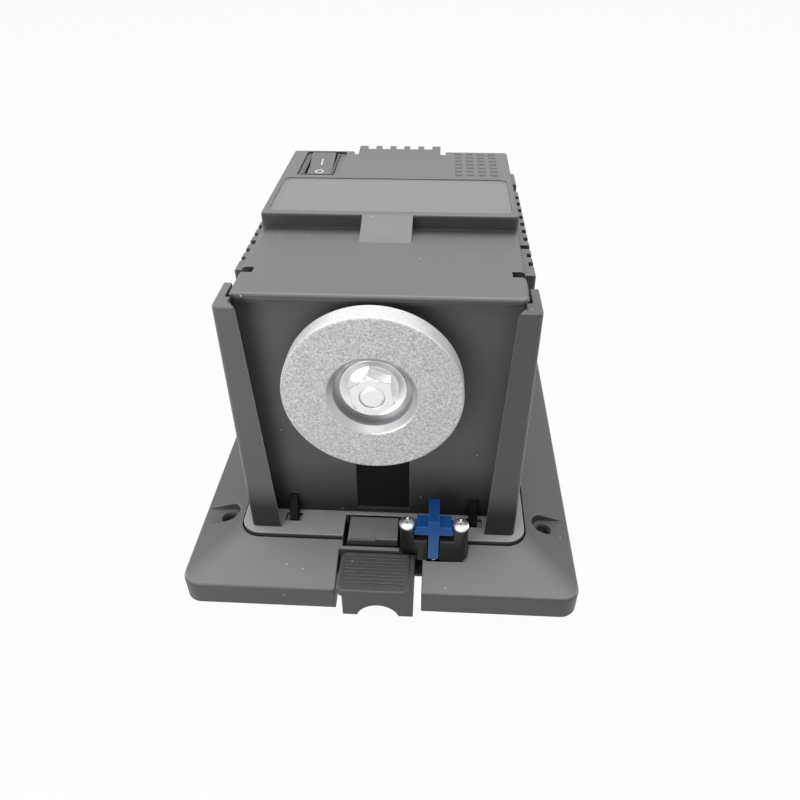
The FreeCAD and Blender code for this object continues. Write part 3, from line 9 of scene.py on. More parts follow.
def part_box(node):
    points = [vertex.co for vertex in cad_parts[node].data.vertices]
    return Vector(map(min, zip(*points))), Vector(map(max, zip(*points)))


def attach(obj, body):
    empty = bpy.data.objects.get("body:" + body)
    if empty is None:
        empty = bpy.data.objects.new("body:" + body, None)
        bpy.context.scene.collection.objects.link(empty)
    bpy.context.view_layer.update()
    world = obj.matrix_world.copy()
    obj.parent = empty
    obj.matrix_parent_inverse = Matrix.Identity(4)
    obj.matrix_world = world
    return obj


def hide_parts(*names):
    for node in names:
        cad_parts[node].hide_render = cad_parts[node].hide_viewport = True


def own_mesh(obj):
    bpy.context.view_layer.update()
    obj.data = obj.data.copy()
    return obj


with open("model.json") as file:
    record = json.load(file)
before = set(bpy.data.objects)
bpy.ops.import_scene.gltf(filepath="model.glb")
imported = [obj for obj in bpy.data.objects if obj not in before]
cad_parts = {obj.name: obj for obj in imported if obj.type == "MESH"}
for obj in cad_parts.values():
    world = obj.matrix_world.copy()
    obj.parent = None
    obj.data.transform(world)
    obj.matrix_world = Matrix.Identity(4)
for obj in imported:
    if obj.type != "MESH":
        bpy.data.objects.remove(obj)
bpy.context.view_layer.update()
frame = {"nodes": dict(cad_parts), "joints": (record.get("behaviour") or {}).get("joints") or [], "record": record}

bl_info = {
    "name": "Bench Sharpener",
    "version": (1, 0, 0),
    "blender": (4, 5, 0),
    "location": "View3D > Sidebar > Sharpener",
    "description": "Dresses the bench sharpener: moulded shells, grinding wheel, interlock, switch and stage",
    "category": "Object",
}

JOIN_DISTANCE = 1e-6
NEAR = 2e-5
EDGE_LAYER = "soft_edge"
FLAT_ANGLE = math.radians(0.4)
SHADE_ANGLE = math.radians(42)
SHARP_ANGLE = math.radians(44)
LEVEL_NORMAL = 0.9
SLOPING_NORMAL = 0.99
FRONT_NORMAL = -0.1
RIM_NORMAL = 0.7
ROUND_STEPS = 48
EDGE_SEGMENTS = 2
METAL_GRAIN = 1400.0
METAL_CLOUDS = 160.0
# Painted shade: posts and panel darken to this share of their colour towards their feet, between these heights
FOOT_SHADE = 0.12
POST_SHADE_Z = (0.029, 0.040)
PANEL_SHADE_Z = (0.022, 0.044)
# Heights over which the plunger's front turns paler: painted light
BLUE_LIT_Z = (0.031, 0.019)
# Painted shade on the lid's deck along the foot of the step, between these depths and heights
STEP_SHADE_Y = (-0.0085, -0.0040)
STEP_SHADE_Z = (0.1120, 0.1108)
LAMP_TARGET = Vector((0.0, 0.0, 0.05))
LAMPS = {
    "key": (1.3, (0.0, -0.10, 1.10)),
    "back": (1.1, (0.05, 0.95, 0.75)),
    "fill": (0.22, (-0.14, -0.34, 0.13)),
    "left": (0.3, (-1.0, 0.25, 0.25)),
    "right": (0.3, (1.0, 0.25, 0.25)),
}


def length(name, default, description):
    return bpy.props.FloatProperty(name=name, description=description, default=default, unit="LENGTH",
                                   precision=5)


def turn(name, degrees, description):
    return bpy.props.FloatProperty(name=name, description=description, default=math.radians(degrees),
                                   unit="ROTATION")


def share(name, default, description):
    return bpy.props.FloatProperty(name=name, description=description, default=default, min=0,
                                   subtype="FACTOR")


def power(name, watts, description):
    return bpy.props.FloatProperty(name=name, description=description, default=watts, unit="POWER")


def colour(name, default, description):
    return bpy.props.FloatVectorProperty(name=name, description=description, default=default, size=3, min=0,
                                         max=1, subtype="COLOR")


class SharpenerSizes(bpy.types.PropertyGroup):
    """Sizes of the edges and of the pieces that are modelled here."""
    shell_edge: length("Shell edge", 0.0003, "Width of the soft edge on the large mouldings")
    fine_edge: length("Fine edge", 0.00016, "Width of the soft edge on small pieces and vent slots")
    wheel_recess: length("Wheel recess", 0.01425, "Radius of the wheel's dished centre at its face")
    recess_slope: length("Recess slope", 0.002, "How far the recess narrows towards its floor")
    recess_floor: length("Recess floor", 0.0065, "Depth of the recess below the wheel's face")
    rim_round: length("Rim round", 0.0009, "Radius of the wheel's front rim")
    back_round: length("Back round", 0.001, "Radius of the wheel's back rim")
    lip_round: length("Lip round", 0.0006, "Radius of the lip round the wheel's recess")
    bore: length("Bore", 0.00402, "Radius of the bore in wheel and washer")
    cup_floor: length("Cup floor", 0.0005, "Thickness of the cup washer's floor")
    cup_depth: length("Cup depth", 0.0012, "Depth of the cup washer's sloping dish")
    cup_lip: length("Cup lip", 0.0003, "Width of the cup washer's lip")
    cup_slope: length("Cup slope", 0.0024, "How far the dish narrows from its lip to its floor")
    sink: length("Sink", 0.00095, "Width of the countersink round the bench screw holes")
    rocker_end: length("Rocker end", 0.0056, "Height of the rocker's ends above its pivot")
    rocker_valley: length("Rocker valley", 0.0046, "Height of the rocker's middle above its pivot")
    rocker_reach: length("Rocker reach", 0.0114, "Distance from the rocker's pivot to its ends")
    rocker_tilt: turn("Rocker tilt", 8, "Tilt of the rocker at rest, with its front end down")
    bar_reach: length("Bar reach", 0.0026, "Distance from the rocker's pivot to the middle of the on mark")
    ring_reach: length("Ring reach", 0.0062, "Distance from the rocker's pivot to the middle of the off mark")
    bar_half: length("Bar half", 0.0023, "Half the length of the on mark")
    ring_radius: length("Ring radius", 0.0018, "Radius of the off mark")
    spring_spare: length("Spring spare", 0.0001, "Room over a spring that is pressed down")
    mark_line: length("Mark line", 0.0006, "Width of the lines of the marks")
    mark_rise: length("Mark rise", 0.00006, "How far the printed marks stand above the rocker")
    panel_floor: length("Panel floor", 0.0018, "Thickness of the front panel in its recess")
    panel_wall: length("Panel wall", 0.0025, "Thickness of the front panel")
    dimple_depth: length("Dimple depth", 0.00018, "Depth of the soft dimples in the roof")
    dimple_cut: length("Dimple cut", 0.0004, "Depth of the dimples in the lid's solid")
    plate_depth: length("Plate depth", 0.00045, "Depth of the bare plate below the roof")
    tooth_notch: length("Tooth notch", 0.002, "Depth of the notches between the vent's teeth in its solid")
    tooth_root: length("Tooth root", 0.0009, "How far the notches go below the roof")
    crest_share: share("Crest share", 0.5, "Share of the vent's height over the roof that is kept")
    head_rim: length("Head rim", 0.0005, "Height of the straight rim of a screw head")
    cross_half: length("Cross half", 0.0003, "Half the width of a screw's cross slot")
    cross_reach: length("Cross reach", 0.0016, "Half the length of a screw's cross slot")
    cross_depth: length("Cross depth", 0.0008, "Depth of a screw's cross slot")
    shank: length("Shank", 0.0015, "Radius of the interlock screws' shanks")
    head_height: length("Head height", 0.0018, "Height of the interlock screws' heads")


class SharpenerColours(bpy.types.PropertyGroup):
    """Colours of the finishes."""
    shell: colour("Shell", (0.036, 0.036, 0.0366), "Charcoal of the body and lid")
    base: colour("Base", (0.058, 0.058, 0.0588), "Charcoal of the base")
    # The dust colours are a film of dust and painted sheen on faces that look up
    shell_dust_and_sheen: colour("Shell dust", (0.172, 0.172, 0.174), "Lighter film on faces that look up")
    plate_dust_and_sheen: colour("Plate dust", (0.265, 0.265, 0.268), "Paler film on the bare plate of the lid")
    base_dust_and_sheen: colour("Base dust", (0.175, 0.175, 0.177), "Film on the base, thickest on its front slope")
    # The two posts are one plastic: the lighter left post and the darker right post are painted light and shade
    left_post: colour("Left post", (0.092, 0.092, 0.093), "Left guide post, rubbed most by the sliding heads")
    right_post: colour("Right post", (0.058, 0.058, 0.059), "Right guide post")
    panel: colour("Panel", (0.092, 0.092, 0.093), "Front panel between the guide posts")
    # Painted shade for the panel's recess and hooks
    panel_recess_shade: colour("Panel recess", (0.006, 0.006, 0.006), "Dark recess of the panel under the wheel")
    # Paler films of dust and painted sheen for the sill and the latch
    sill_dust_and_sheen: colour("Sill dust", (0.36, 0.36, 0.364), "Pale film on the plinth in front of the panel")
    latch_dust_and_sheen: colour("Latch dust", (0.25, 0.25, 0.253), "Film on the lever's latch")
    lever: colour("Lever", (0.044, 0.044, 0.045), "Release lever, which hands keep free of dust")
    black: colour("Black", (0.010, 0.010, 0.0105), "Glossy black of switch and interlock block")
    blue: colour("Blue", (0.009, 0.070, 0.250), "Blue of the safety plunger")
    blue_lit_and_worn: colour("Lit and worn blue", (0.070, 0.165, 0.360), "Paler blue for the plunger's lower front as painted light, and its edges as wear and painted highlight")
    rubber: colour("Rubber", (0.016, 0.016, 0.016), "Feet and cable gland")
    grit: colour("Grit", (0.55, 0.55, 0.546), "Grey grit of the wheel")
    # Painted light: the rim is a lighter copy of the grit
    rim: colour("Rim", (0.74, 0.74, 0.735), "Rim of the wheel, a lighter copy of the grit as painted light")
    dish: colour("Dish", (0.52, 0.52, 0.53), "Bare metal of the wheel's dished centre")
    nickel: colour("Nickel", (0.93, 0.93, 0.935), "Bright plated steel")
    zinc: colour("Zinc", (0.56, 0.57, 0.59), "Plated screws")
    core: colour("Core", (0.16, 0.16, 0.17), "Stacked laminations")
    copper: colour("Copper", (0.50, 0.20, 0.07), "Enamelled winding wire")
    alloy: colour("Alloy", (0.55, 0.55, 0.56), "Die cast brackets")
    bronze: colour("Bronze", (0.55, 0.36, 0.14), "Sintered bushes")
    brass: colour("Brass", (0.70, 0.52, 0.22), "Switch blades")
    nylon: colour("Nylon", (0.60, 0.60, 0.58), "Cooling fan")
    mark: colour("Mark", (0.80, 0.80, 0.80), "Printed marks on the rocker")
    floor: colour("Floor", (0.60, 0.60, 0.60), "Pale floor, whose white is its own")


class SharpenerStage(bpy.types.PropertyGroup):
    """Camera, lamps and floor."""
    camera_place: bpy.props.FloatVectorProperty(
        name="Camera place", description="Where the camera stands", default=(0.0173, -0.2295, 0.2081), size=3,
        subtype="TRANSLATION")
    camera_tilt: turn("Camera tilt", 37.0, "How far the camera looks down")
    camera_turn: turn("Camera turn", 3.5, "How far the camera looks to the left")
    camera_roll: turn("Camera roll", -0.42, "How far the camera leans about its own line of sight")
    camera_lens: bpy.props.FloatProperty(name="Camera lens", description="Focal length on a 36 mm sensor",
                                         default=31.25, unit="CAMERA")
    key_power: power("Key power", 10.5, "Power of the large lamp overhead")
    back_power: power("Back power", 0.4, "Power of the lamp behind, low over the lid")
    fill_power: power("Fill power", 0.42, "Power of the near lamp in front")
    left_power: power("Left power", 5.2, "Power of the lamp on the left")
    right_power: power("Right power", 4.0, "Power of the lamp on the right")
    room_light: share("Room light", 0.21, "Strength of the even light from all round")
    floor_glow: share("Floor glow", 0.97, "Share of the floor's own white that the camera sees")
    floor_size: length("Floor size", 8.0, "Width of the floor")


def sizes():
    return bpy.context.scene.sharpener_sizes


def colours():
    return bpy.context.scene.sharpener_colours


def node_body(node):
    """Name of the body that a node rides on."""
    for body, members in frame["record"]["behaviour"]["bodies"].items():
        if node in members:
            return body
    raise ValueError("no body holds " + node)


def add_node(tree, kind, settings=(), **inputs):
    """Shader node with settings, whose inputs get values or links."""
    node = tree.nodes.new("ShaderNode" + kind)
    for key, value in dict(settings).items():
        setattr(node, key, value)
    for key, value in inputs.items():
        set_input(tree, node.inputs[key.replace("_", " ")], value)
    return node


def set_input(tree, socket, value):
    if isinstance(value, bpy.types.NodeSocket):
        tree.links.new(value, socket)
    else:
        socket.default_value = value


def calc(tree, operation, *values):
    """Output of a Math node."""
    node = tree.nodes.new("ShaderNodeMath")
    node.operation = operation
    for socket, value in zip(node.inputs, values):
        set_input(tree, socket, value)
    return node.outputs[0]


def times(tree, first, second):
    return calc(tree, "MULTIPLY", first, second)


def halves(tree, first, second):
    """Even mean of two values."""
    return calc(tree, "ADD", times(tree, first, 0.5), times(tree, second, 0.5))


def spread(tree, value, low, high, new_low=0.0, new_high=1.0):
    """Output of a Map Range node that keeps within its new limits."""
    node = add_node(tree, "MapRange", {"clamp": True})
    for socket, number in zip(node.inputs, (value, low, high, new_low, new_high)):
        set_input(tree, socket, number)
    return node.outputs[0]


def mix_colour(tree, factor, first, second):
    """Output of a Mix node for two colours."""
    node = add_node(tree, "Mix", {"data_type": "RGBA"})
    sockets = [s for s in node.inputs if s.enabled]
    for socket, value in zip(sockets, (factor, first, second)):
        set_input(tree, socket, value)
    return [s for s in node.outputs if s.enabled][0]


def noise(tree, place, scale, detail):
    """Output of a Noise Texture node."""
    return add_node(tree, "TexNoise", Vector=place, Scale=scale, Detail=detail).outputs[0]


def opaque(rgb):
    return (rgb[0], rgb[1], rgb[2], 1.0)


def shade(rgb, factor):
    """A colour made darker or lighter."""
    return [min(1.0, c * factor) for c in rgb]


def new_group(name, inputs, outputs):
    """Empty shader node group with named value sockets, and its two end nodes."""
    tree = bpy.data.node_groups.new(name, "ShaderNodeTree")
    for label, default in inputs:
        socket = tree.interface.new_socket(label, in_out="INPUT", socket_type="NodeSocketFloat")
        socket.default_value = default
    for label in outputs:
        tree.interface.new_socket(label, in_out="OUTPUT", socket_type="NodeSocketFloat")
    return tree, tree.nodes.new("NodeGroupInput"), tree.nodes.new("NodeGroupOutput")


def connect(tree, end, **values):
    for label, value in values.items():
        tree.links.new(value, end.inputs[label.replace("_", " ")])


def grain_group():
    """Spark-eroded mould texture: fine grain, slow clouds, scuffs, a film of dust and painted sheen on top faces,
    and bright specks.
    """
    name = "Mould grain"
    if name in bpy.data.node_groups:
        return bpy.data.node_groups[name]
    inputs = [("Grain Scale", 1900.0), ("Cloud Scale", 45.0), ("Speck Scale", 520.0), ("Speck Share", 0.02)]
    tree, start, end = new_group(name, inputs, ["Tone", "Dust", "Front", "Specks", "Scuffs", "Height"])
    coord = add_node(tree, "TexCoord")
    place = coord.outputs["Object"]
    fine = noise(tree, place, start.outputs["Grain Scale"], 2.0)
    cloud = noise(tree, place, start.outputs["Cloud Scale"], 4.0)
    stretched = add_node(tree, "Mapping", Vector=place, Scale=(1.0, 0.16, 0.4), Rotation=(0.2, 0.1, 0.5))
    streak = noise(tree, stretched.outputs[0], 260.0, 3.0)
    cells = add_node(tree, "TexVoronoi", Vector=place, Scale=start.outputs["Speck Scale"])
    chosen = calc(tree, "LESS_THAN", add_node(tree, "SeparateColor", Color=cells.outputs["Color"]).outputs[0],
                  start.outputs["Speck Share"])
    near = spread(tree, cells.outputs["Distance"], 0.10, 0.16, 1.0, 0.0)
    facing = add_node(tree, "SeparateXYZ", Vector=coord.outputs["Normal"]).outputs
    front = times(tree, facing["Y"], -1.0)
    # Faces that look up turn lighter: dust and painted sheen
    film = times(tree, spread(tree, facing["Z"], 0.55, 0.98), spread(tree, cloud, 0.25, 0.75, 0.94, 1.0))
    tone = calc(tree, "ADD", times(tree, fine, 0.45), times(tree, cloud, 0.55))
    connect(tree, end, Tone=tone, Dust=film, Front=front, Specks=times(tree, chosen, near),
            Scuffs=spread(tree, streak, 0.60, 0.76), Height=fine)
    return tree


def edge_group():
    """Mask of the softened edges, which the mesh marks, broken up by noise, for wear and a painted highlight."""
    name = "Edge wear"
    if name in bpy.data.node_groups:
        return bpy.data.node_groups[name]
    tree, start, end = new_group(name, [("Break Scale", 300.0)], ["Wear"])
    edge = add_node(tree, "Attribute", {"attribute_name": EDGE_LAYER}).outputs["Fac"]
    place = add_node(tree, "TexCoord").outputs["Object"]
    patches = noise(tree, place, start.outputs["Break Scale"], 3.0)
    connect(tree, end, Wear=times(tree, edge, spread(tree, patches, 0.30, 0.62, 0.35, 1.0)))
    return tree


def ramp_group():
    """Ramps along the three axes, from 0 at the start to 1 at the end."""
    name = "Axis ramp"
    if name in bpy.data.node_groups:
        return bpy.data.node_groups[name]
    tree, start, end = new_group(name, [("Start", 0.0), ("End", 1.0)], ["X", "Y", "Z"])
    place = add_node(tree, "SeparateXYZ", Vector=add_node(tree, "TexCoord").outputs["Object"])
    limits = start.outputs["Start"], start.outputs["End"]
    connect(tree, end, **{axis: spread(tree, place.outputs[axis], *limits) for axis in "XYZ"})
    return tree


def turned_group():
    """Fine rings round the spindle, as a lathe leaves them."""
    name = "Turned rings"
    if name in bpy.data.node_groups:
        return bpy.data.node_groups[name]
    tree, start, end = new_group(name, [("Ring Scale", 2200.0)], ["Tone", "Height"])
    axis = wheel_axis()
    place = add_node(tree, "Mapping", Vector=add_node(tree, "TexCoord").outputs["Object"],
                     Location=(-axis.x, 0.0, -axis.z))
    parts = add_node(tree, "SeparateXYZ", Vector=place.outputs[0]).outputs
    across = calc(tree, "POWER", parts["X"], 2.0)
    over = calc(tree, "POWER", parts["Z"], 2.0)
    radius = calc(tree, "SQRT", calc(tree, "ADD", across, over))
    rings = add_node(tree, "TexNoise", {"noise_dimensions": "1D"}, W=radius,
                     Scale=start.outputs["Ring Scale"], Detail=2.0).outputs[0]
    connect(tree, end, Tone=rings, Height=rings)
    return tree


def grit_group():
    """Close-packed grit: pale and dark grains of two sizes."""
    name = "Bonded grit"
    if name in bpy.data.node_groups:
        return bpy.data.node_groups[name]
    tree, start, end = new_group(name, [("Grain Scale", 2300.0)], ["Tone", "Height"])
    place = add_node(tree, "TexCoord").outputs["Object"]
    cells = add_node(tree, "TexVoronoi", Vector=place, Scale=start.outputs["Grain Scale"])
    grain = add_node(tree, "SeparateColor", Color=cells.outputs["Color"]).outputs[0]
    coarse = add_node(tree, "TexNoise", Vector=place, Scale=1300.0, Detail=3.0, Roughness=0.6).outputs[0]
    height = calc(tree, "SUBTRACT", coarse, cells.outputs["Distance"])
    connect(tree, end, Tone=halves(tree, grain, coarse), Height=height)
    return tree


def wheel_axis():
    low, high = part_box("grinding_wheel")
    return (low + high) / 2


def use_group(tree, group, **values):
    """A group placed in a material, with its own values."""
    node = tree.nodes.new("ShaderNodeGroup")
    node.node_tree = group
    for label, value in values.items():
        node.inputs[label.replace("_", " ")].default_value = value
    return node


def new_material(name):
    """Empty node material with its Principled shader."""
    material = bpy.data.materials.new(name)
    material.use_nodes = True
    tree = material.node_tree
    return material, tree, tree.nodes["Principled BSDF"]


def set_bump(tree, shader, height, strength, distance):
    bump = add_node(tree, "Bump", Strength=strength, Distance=distance, Height=height)
    connect(tree, shader, Normal=bump.outputs[0])


def plastic(name, base, dust, front_share=1.0, foot=(), rub=0.35, rough=0.46, speck=0.02, bump=0.12):
    """Textured moulding with a film of dust and painted sheen, specks, scuffs, and edges with wear and a painted
    highlight.

    Away from slopes that face the front, the film keeps front_share of itself: painted sheen on front slopes.
    The colour comes up from a dark foot, painted shade, between the two heights in foot, and the edges take
    wear and a painted highlight in the share given for them.
    """
    if name in bpy.data.materials:
        return bpy.data.materials[name]
    material, tree, shader = new_material(name)
    marks = use_group(tree, grain_group(), Speck_Share=speck).outputs
    worn_lit_edge = use_group(tree, edge_group()).outputs["Wear"]
    tint = mix_colour(tree, marks["Tone"], opaque(shade(base, 0.80)), opaque(shade(base, 1.20)))
    film = times(tree, marks["Dust"], spread(tree, marks["Front"], 0.0, 0.2, front_share))
    tint = mix_colour(tree, film, tint, opaque(dust))
    tint = mix_colour(tree, times(tree, marks["Scuffs"], 0.03), tint, opaque(dust))
    # Painted shade: darker towards the foot
    if foot:
        ramp = use_group(tree, ramp_group(), Start=foot[0], End=foot[1])
        tint = mix_colour(tree, ramp.outputs["Z"], opaque(shade(base, FOOT_SHADE)), tint)
    # Edges turn lighter: wear and a painted highlight
    tint = mix_colour(tree, times(tree, worn_lit_edge, rub), tint, opaque(shade(dust, 2.2)))
    tint = mix_colour(tree, times(tree, marks["Specks"], 0.55), tint, (0.8, 0.8, 0.8, 1.0))
    gloss = spread(tree, marks["Tone"], 0.3, 0.7, rough - 0.02, rough + 0.02)
    connect(tree, shader, Base_Color=tint, Roughness=gloss)
    set_bump(tree, shader, marks["Height"], bump, 0.0002)
    return material


def metal(name, base, rough, rings=0.0, bump=0.05):
    """Bare or plated metal with slight stains, and lathe rings where it was turned."""
    if name in bpy.data.materials:
        return bpy.data.materials[name]
    material, tree, shader = new_material(name)
    shader.inputs["Metallic"].default_value = 1.0
    marks = use_group(tree, grain_group(), Grain_Scale=METAL_GRAIN, Cloud_Scale=METAL_CLOUDS).outputs
    tone, height = marks["Tone"], marks["Height"]
    if rings:
        turned = use_group(tree, turned_group(), Ring_Scale=rings).outputs
        tone, height = halves(tree, tone, turned["Tone"]), turned["Height"]
    tint = mix_colour(tree, tone, opaque(shade(base, 0.72)), opaque(shade(base, 1.15)))
    gloss = spread(tree, tone, 0.3, 0.7, rough + 0.08, rough - 0.05)
    connect(tree, shader, Base_Color=tint, Roughness=gloss)
    set_bump(tree, shader, height, bump, 0.0001)
    return material


def dull(material, level):
    """Weaken a plastic's reflections."""
    material.node_tree.nodes["Principled BSDF"].inputs["Specular IOR Level"].default_value = level
    return material


def shell_plastic():
    return plastic("charcoal_shell", colours().shell, colours().shell_dust_and_sheen)


def plate_plastic():
    return plastic("plate_plastic", colours().shell, colours().plate_dust_and_sheen)


def lid_plastic():
    """Plastic of the lid, with painted shade on the deck along the foot of the step."""
    name = "lid_plastic"
    if name in bpy.data.materials:
        return bpy.data.materials[name]
    material = plastic(name, colours().shell, colours().shell_dust_and_sheen)
    tree = material.node_tree
    base = tree.nodes["Principled BSDF"].inputs["Base Color"]
    unshaded = base.links[0].from_socket
    near = use_group(tree, ramp_group(), Start=STEP_SHADE_Y[0], End=STEP_SHADE_Y[1]).outputs["Y"]
    low = use_group(tree, ramp_group(), Start=STEP_SHADE_Z[0], End=STEP_SHADE_Z[1]).outputs["Z"]
    # Painted shade along the foot of the step
    tree.links.new(mix_colour(tree, times(tree, near, low), unshaded, opaque(colours().shell)), base)
    return material


# Painted shade: a thinner film for the dimple floors
def dimple_plastic():
    return plastic("dimple_plastic", colours().shell, shade(colours().shell_dust_and_sheen, 0.5))


def base_plastic():
    # Painted sheen: the film is kept thickest on the slopes that face the front
    return plastic("base_plastic", colours().base, colours().base_dust_and_sheen, front_share=0.34, rub=0.0)


# Painted shade for the countersinks
def sink_plastic():
    film = shade(colours().shell, 1.4)
    return dull(plastic("sink_plastic", colours().shell, film, rub=0.2), 0.3)


def post_plastic(name, base):
    # Painted shade towards the posts' feet
    return plastic(name, base, shade(base, 1.8), foot=POST_SHADE_Z, rough=0.34)


def panel_plastic():
    film = shade(colours().panel, 1.6)
    # Painted shade towards the panel's foot
    return dull(plastic("panel_plastic", colours().panel, film, foot=PANEL_SHADE_Z, rub=0.06, rough=0.5), 0.3)


# Painted shade for the panel's recess and hooks
def recess_plastic():
    film = shade(colours().panel_recess_shade, 1.6)
    return dull(plastic("recess_plastic", colours().panel_recess_shade, film, rub=0.1, rough=0.6), 0.1)


def sill_plastic():
    return plastic("sill_plastic", colours().shell, colours().sill_dust_and_sheen)


def latch_plastic():
    return plastic("latch_plastic", colours().shell, colours().latch_dust_and_sheen)


def lever_plastic():
    return plastic("lever_plastic", colours().lever, shade(colours().lever, 1.7), rough=0.44)


def switch_plastic():
    return plastic("switch_moulding", colours().shell, colours().shell_dust_and_sheen, rough=0.40, bump=0.05)


def black_plastic():
    film = shade(colours().black, 3.0)
    return dull(plastic("gloss_black", colours().black, film, rough=0.28, bump=0.03), 0.35)


def blue_plastic():
    """Blue acetal, paler on its edges as wear and a painted highlight, and paler on its lower front as painted
    light.
    """
    name = "blue_acetal"
    if name in bpy.data.materials:
        return bpy.data.materials[name]
    material, tree, shader = new_material(name)
    marks = use_group(tree, grain_group(), Cloud_Scale=60.0).outputs
    worn_lit_edge = use_group(tree, edge_group()).outputs["Wear"]
    shader.inputs["Specular IOR Level"].default_value = 0.18
    base, lit_and_worn = colours().blue, colours().blue_lit_and_worn
    tint = mix_colour(tree, marks["Tone"], opaque(shade(base, 0.95)), opaque(shade(base, 1.05)))
    # Painted light: lower faces that look to the front turn paler
    low = use_group(tree, ramp_group(), Start=BLUE_LIT_Z[0], End=BLUE_LIT_Z[1]).outputs["Z"]
    lit_front = times(tree, low, spread(tree, marks["Front"], 0.6, 0.95, 0.0, 0.8))
    tint = mix_colour(tree, lit_front, tint, opaque(lit_and_worn))
    # Edges turn paler: wear and a painted highlight
    tint = mix_colour(tree, times(tree, worn_lit_edge, 0.6), tint, opaque(lit_and_worn))
    gloss = spread(tree, marks["Tone"], 0.3, 0.7, 0.30, 0.40)
    connect(tree, shader, Base_Color=tint, Roughness=gloss)
    set_bump(tree, shader, marks["Height"], 0.04, 0.0002)
    return material


def rubber():
    return plastic("black_rubber", colours().rubber, shade(colours().rubber, 2.0), rough=0.72, bump=0.2)


def bonded_grit(name, base, darkest):
    """Grey grit on a metal body: grains catch the light one by one."""
    if name in bpy.data.materials:
        return bpy.data.materials[name]
    material, tree, shader = new_material(name)
    grit = use_group(tree, grit_group()).outputs
    tint = mix_colour(tree, grit["Tone"], opaque(shade(base, darkest)), opaque(shade(base, 1.5)))
    shader.inputs["Metallic"].default_value = 0.2
    gloss = spread(tree, grit["Tone"], 0.2, 0.9, 0.62, 0.46)
    connect(tree, shader, Base_Color=tint, Roughness=gloss)
    set_bump(tree, shader, grit["Height"], 0.25, 0.0003)
    return material


def wheel_grit():
    return bonded_grit("bonded_grit", colours().grit, 0.42)


# Painted light: a lighter copy of the grit for the rim
def rim_grit():
    return bonded_grit("rim_grit", colours().rim, 0.85)


def nickel():
    return metal("bright_nickel", colours().nickel, 0.18)


def screw_nickel():
    return metal("screw_nickel", colours().nickel, 0.36)


def turned_nickel():
    return metal("turned_nickel", colours().nickel, 0.24, rings=2600.0)


def satin_nickel():
    return metal("satin_nickel", colours().nickel, 0.40, rings=2600.0)


def dish_metal():
    return metal("dish_metal", colours().dish, 0.36, rings=1500.0)


def zinc():
    return metal("zinc_screws", colours().zinc, 0.34)


def core_steel():
    return metal("core_laminations", colours().core, 0.5, bump=0.2)


def copper():
    return metal("winding_copper", colours().copper, 0.36, bump=0.2)


def alloy():
    return metal("alloy_casting", colours().alloy, 0.5, bump=0.25)


def bronze():
    return metal("oil_bronze", colours().bronze, 0.42)


def brass():
    return metal("blade_brass", colours().brass, 0.3)


def nylon():
    return plastic("fan_nylon", colours().nylon, colours().nylon, rough=0.5)


def printed_white():
    return plastic("printed_white", colours().mark, colours().mark, rough=0.5, speck=0.0)


def merged_copy(node):
    """A CAD node's mesh with its loose triangles joined and its flat faces made whole."""
    bm = bmesh.new()
    bm.from_mesh(frame["nodes"][node].data)
    bmesh.ops.remove_doubles(bm, verts=bm.verts, dist=JOIN_DISTANCE)
    bmesh.ops.dissolve_limit(bm, angle_limit=FLAT_ANGLE, verts=bm.verts, edges=bm.edges)
    return bm


def sharp_edges(bm):
    return [e for e in bm.edges if len(e.link_faces) == 2 and e.calc_face_angle(0.0) > SHARP_ANGLE]


def bevel(bm, edges, width, segments, clamp=True):
    """Bevel edges, and return the new faces."""
    made = bmesh.ops.bevel(bm, geom=edges, offset=width, offset_type="OFFSET", segments=segments, profile=0.5,
                           affect="EDGES", clamp_overlap=clamp, material=-1)
    return made["faces"]


def soften(bm, width):
    """Round every sharp edge a little, and mark the new faces that stand out."""
    layer = bm.faces.layers.float.new(EDGE_LAYER)
    made = bevel(bm, sharp_edges(bm), width, EDGE_SEGMENTS, clamp=False)
    bm.normal_update()
    for face in made:
        bend = sum(edge.calc_face_angle_signed(0.0) for edge in face.edges)
        face[layer] = 1.0 if bend > 0 else 0.0


def add_piece(bm, name, body, materials, replaced=()):
    """Make a bmesh a shaded piece that rides on a body."""
    for face in bm.faces:
        face.smooth = True
    mesh = bpy.data.meshes.new(name)
    bm.to_mesh(mesh)
    bm.free()
    mesh.set_sharp_from_angle(angle=SHADE_ANGLE)
    for material in materials:
        mesh.materials.append(material)
    piece = bpy.data.objects.new(name, mesh)
    bpy.context.scene.collection.objects.link(piece)
    normals = piece.modifiers.new("Even shading", "WEIGHTED_NORMAL")
    normals.keep_sharp = True
    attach(piece, body)
    if replaced:
        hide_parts(*replaced)
    return piece


def add_skin(bm, node, materials):
    """Make a bmesh the stand-in for a CAD node."""
    add_piece(bm, node + "_skin", node_body(node), materials, [node])


def soft_copy(node, width, material):
    """Stand-in for a CAD node, of the same shape with softened edges."""
    bm = merged_copy(node)
    soften(bm, width)
    add_skin(bm, node, [material])


def spun(points, closed, centre, axis, steps):
    """Piece made by turning a line of points once about an axis through the centre."""
    bm = bmesh.new()
    verts = [bm.verts.new(point) for point in points]
    ends = verts[1:] + verts[:1] if closed else verts[1:]
    edges = [bm.edges.new(pair) for pair in zip(verts, ends)]
    bmesh.ops.spin(bm, geom=verts + edges, cent=centre, axis=axis, angle=2 * math.pi, steps=steps,
                   use_merge=True)
    bmesh.ops.remove_doubles(bm, verts=bm.verts, dist=JOIN_DISTANCE)
    bmesh.ops.recalc_face_normals(bm, faces=bm.faces)
    return bm


def turned_piece(outline, axis, steps):
    """Closed ring made by turning (y, radius) points about a line along Y."""
    points = [(axis.x, y, axis.z + radius) for y, radius in outline]
    return spun(points, True, axis, (0, 1, 0), steps)


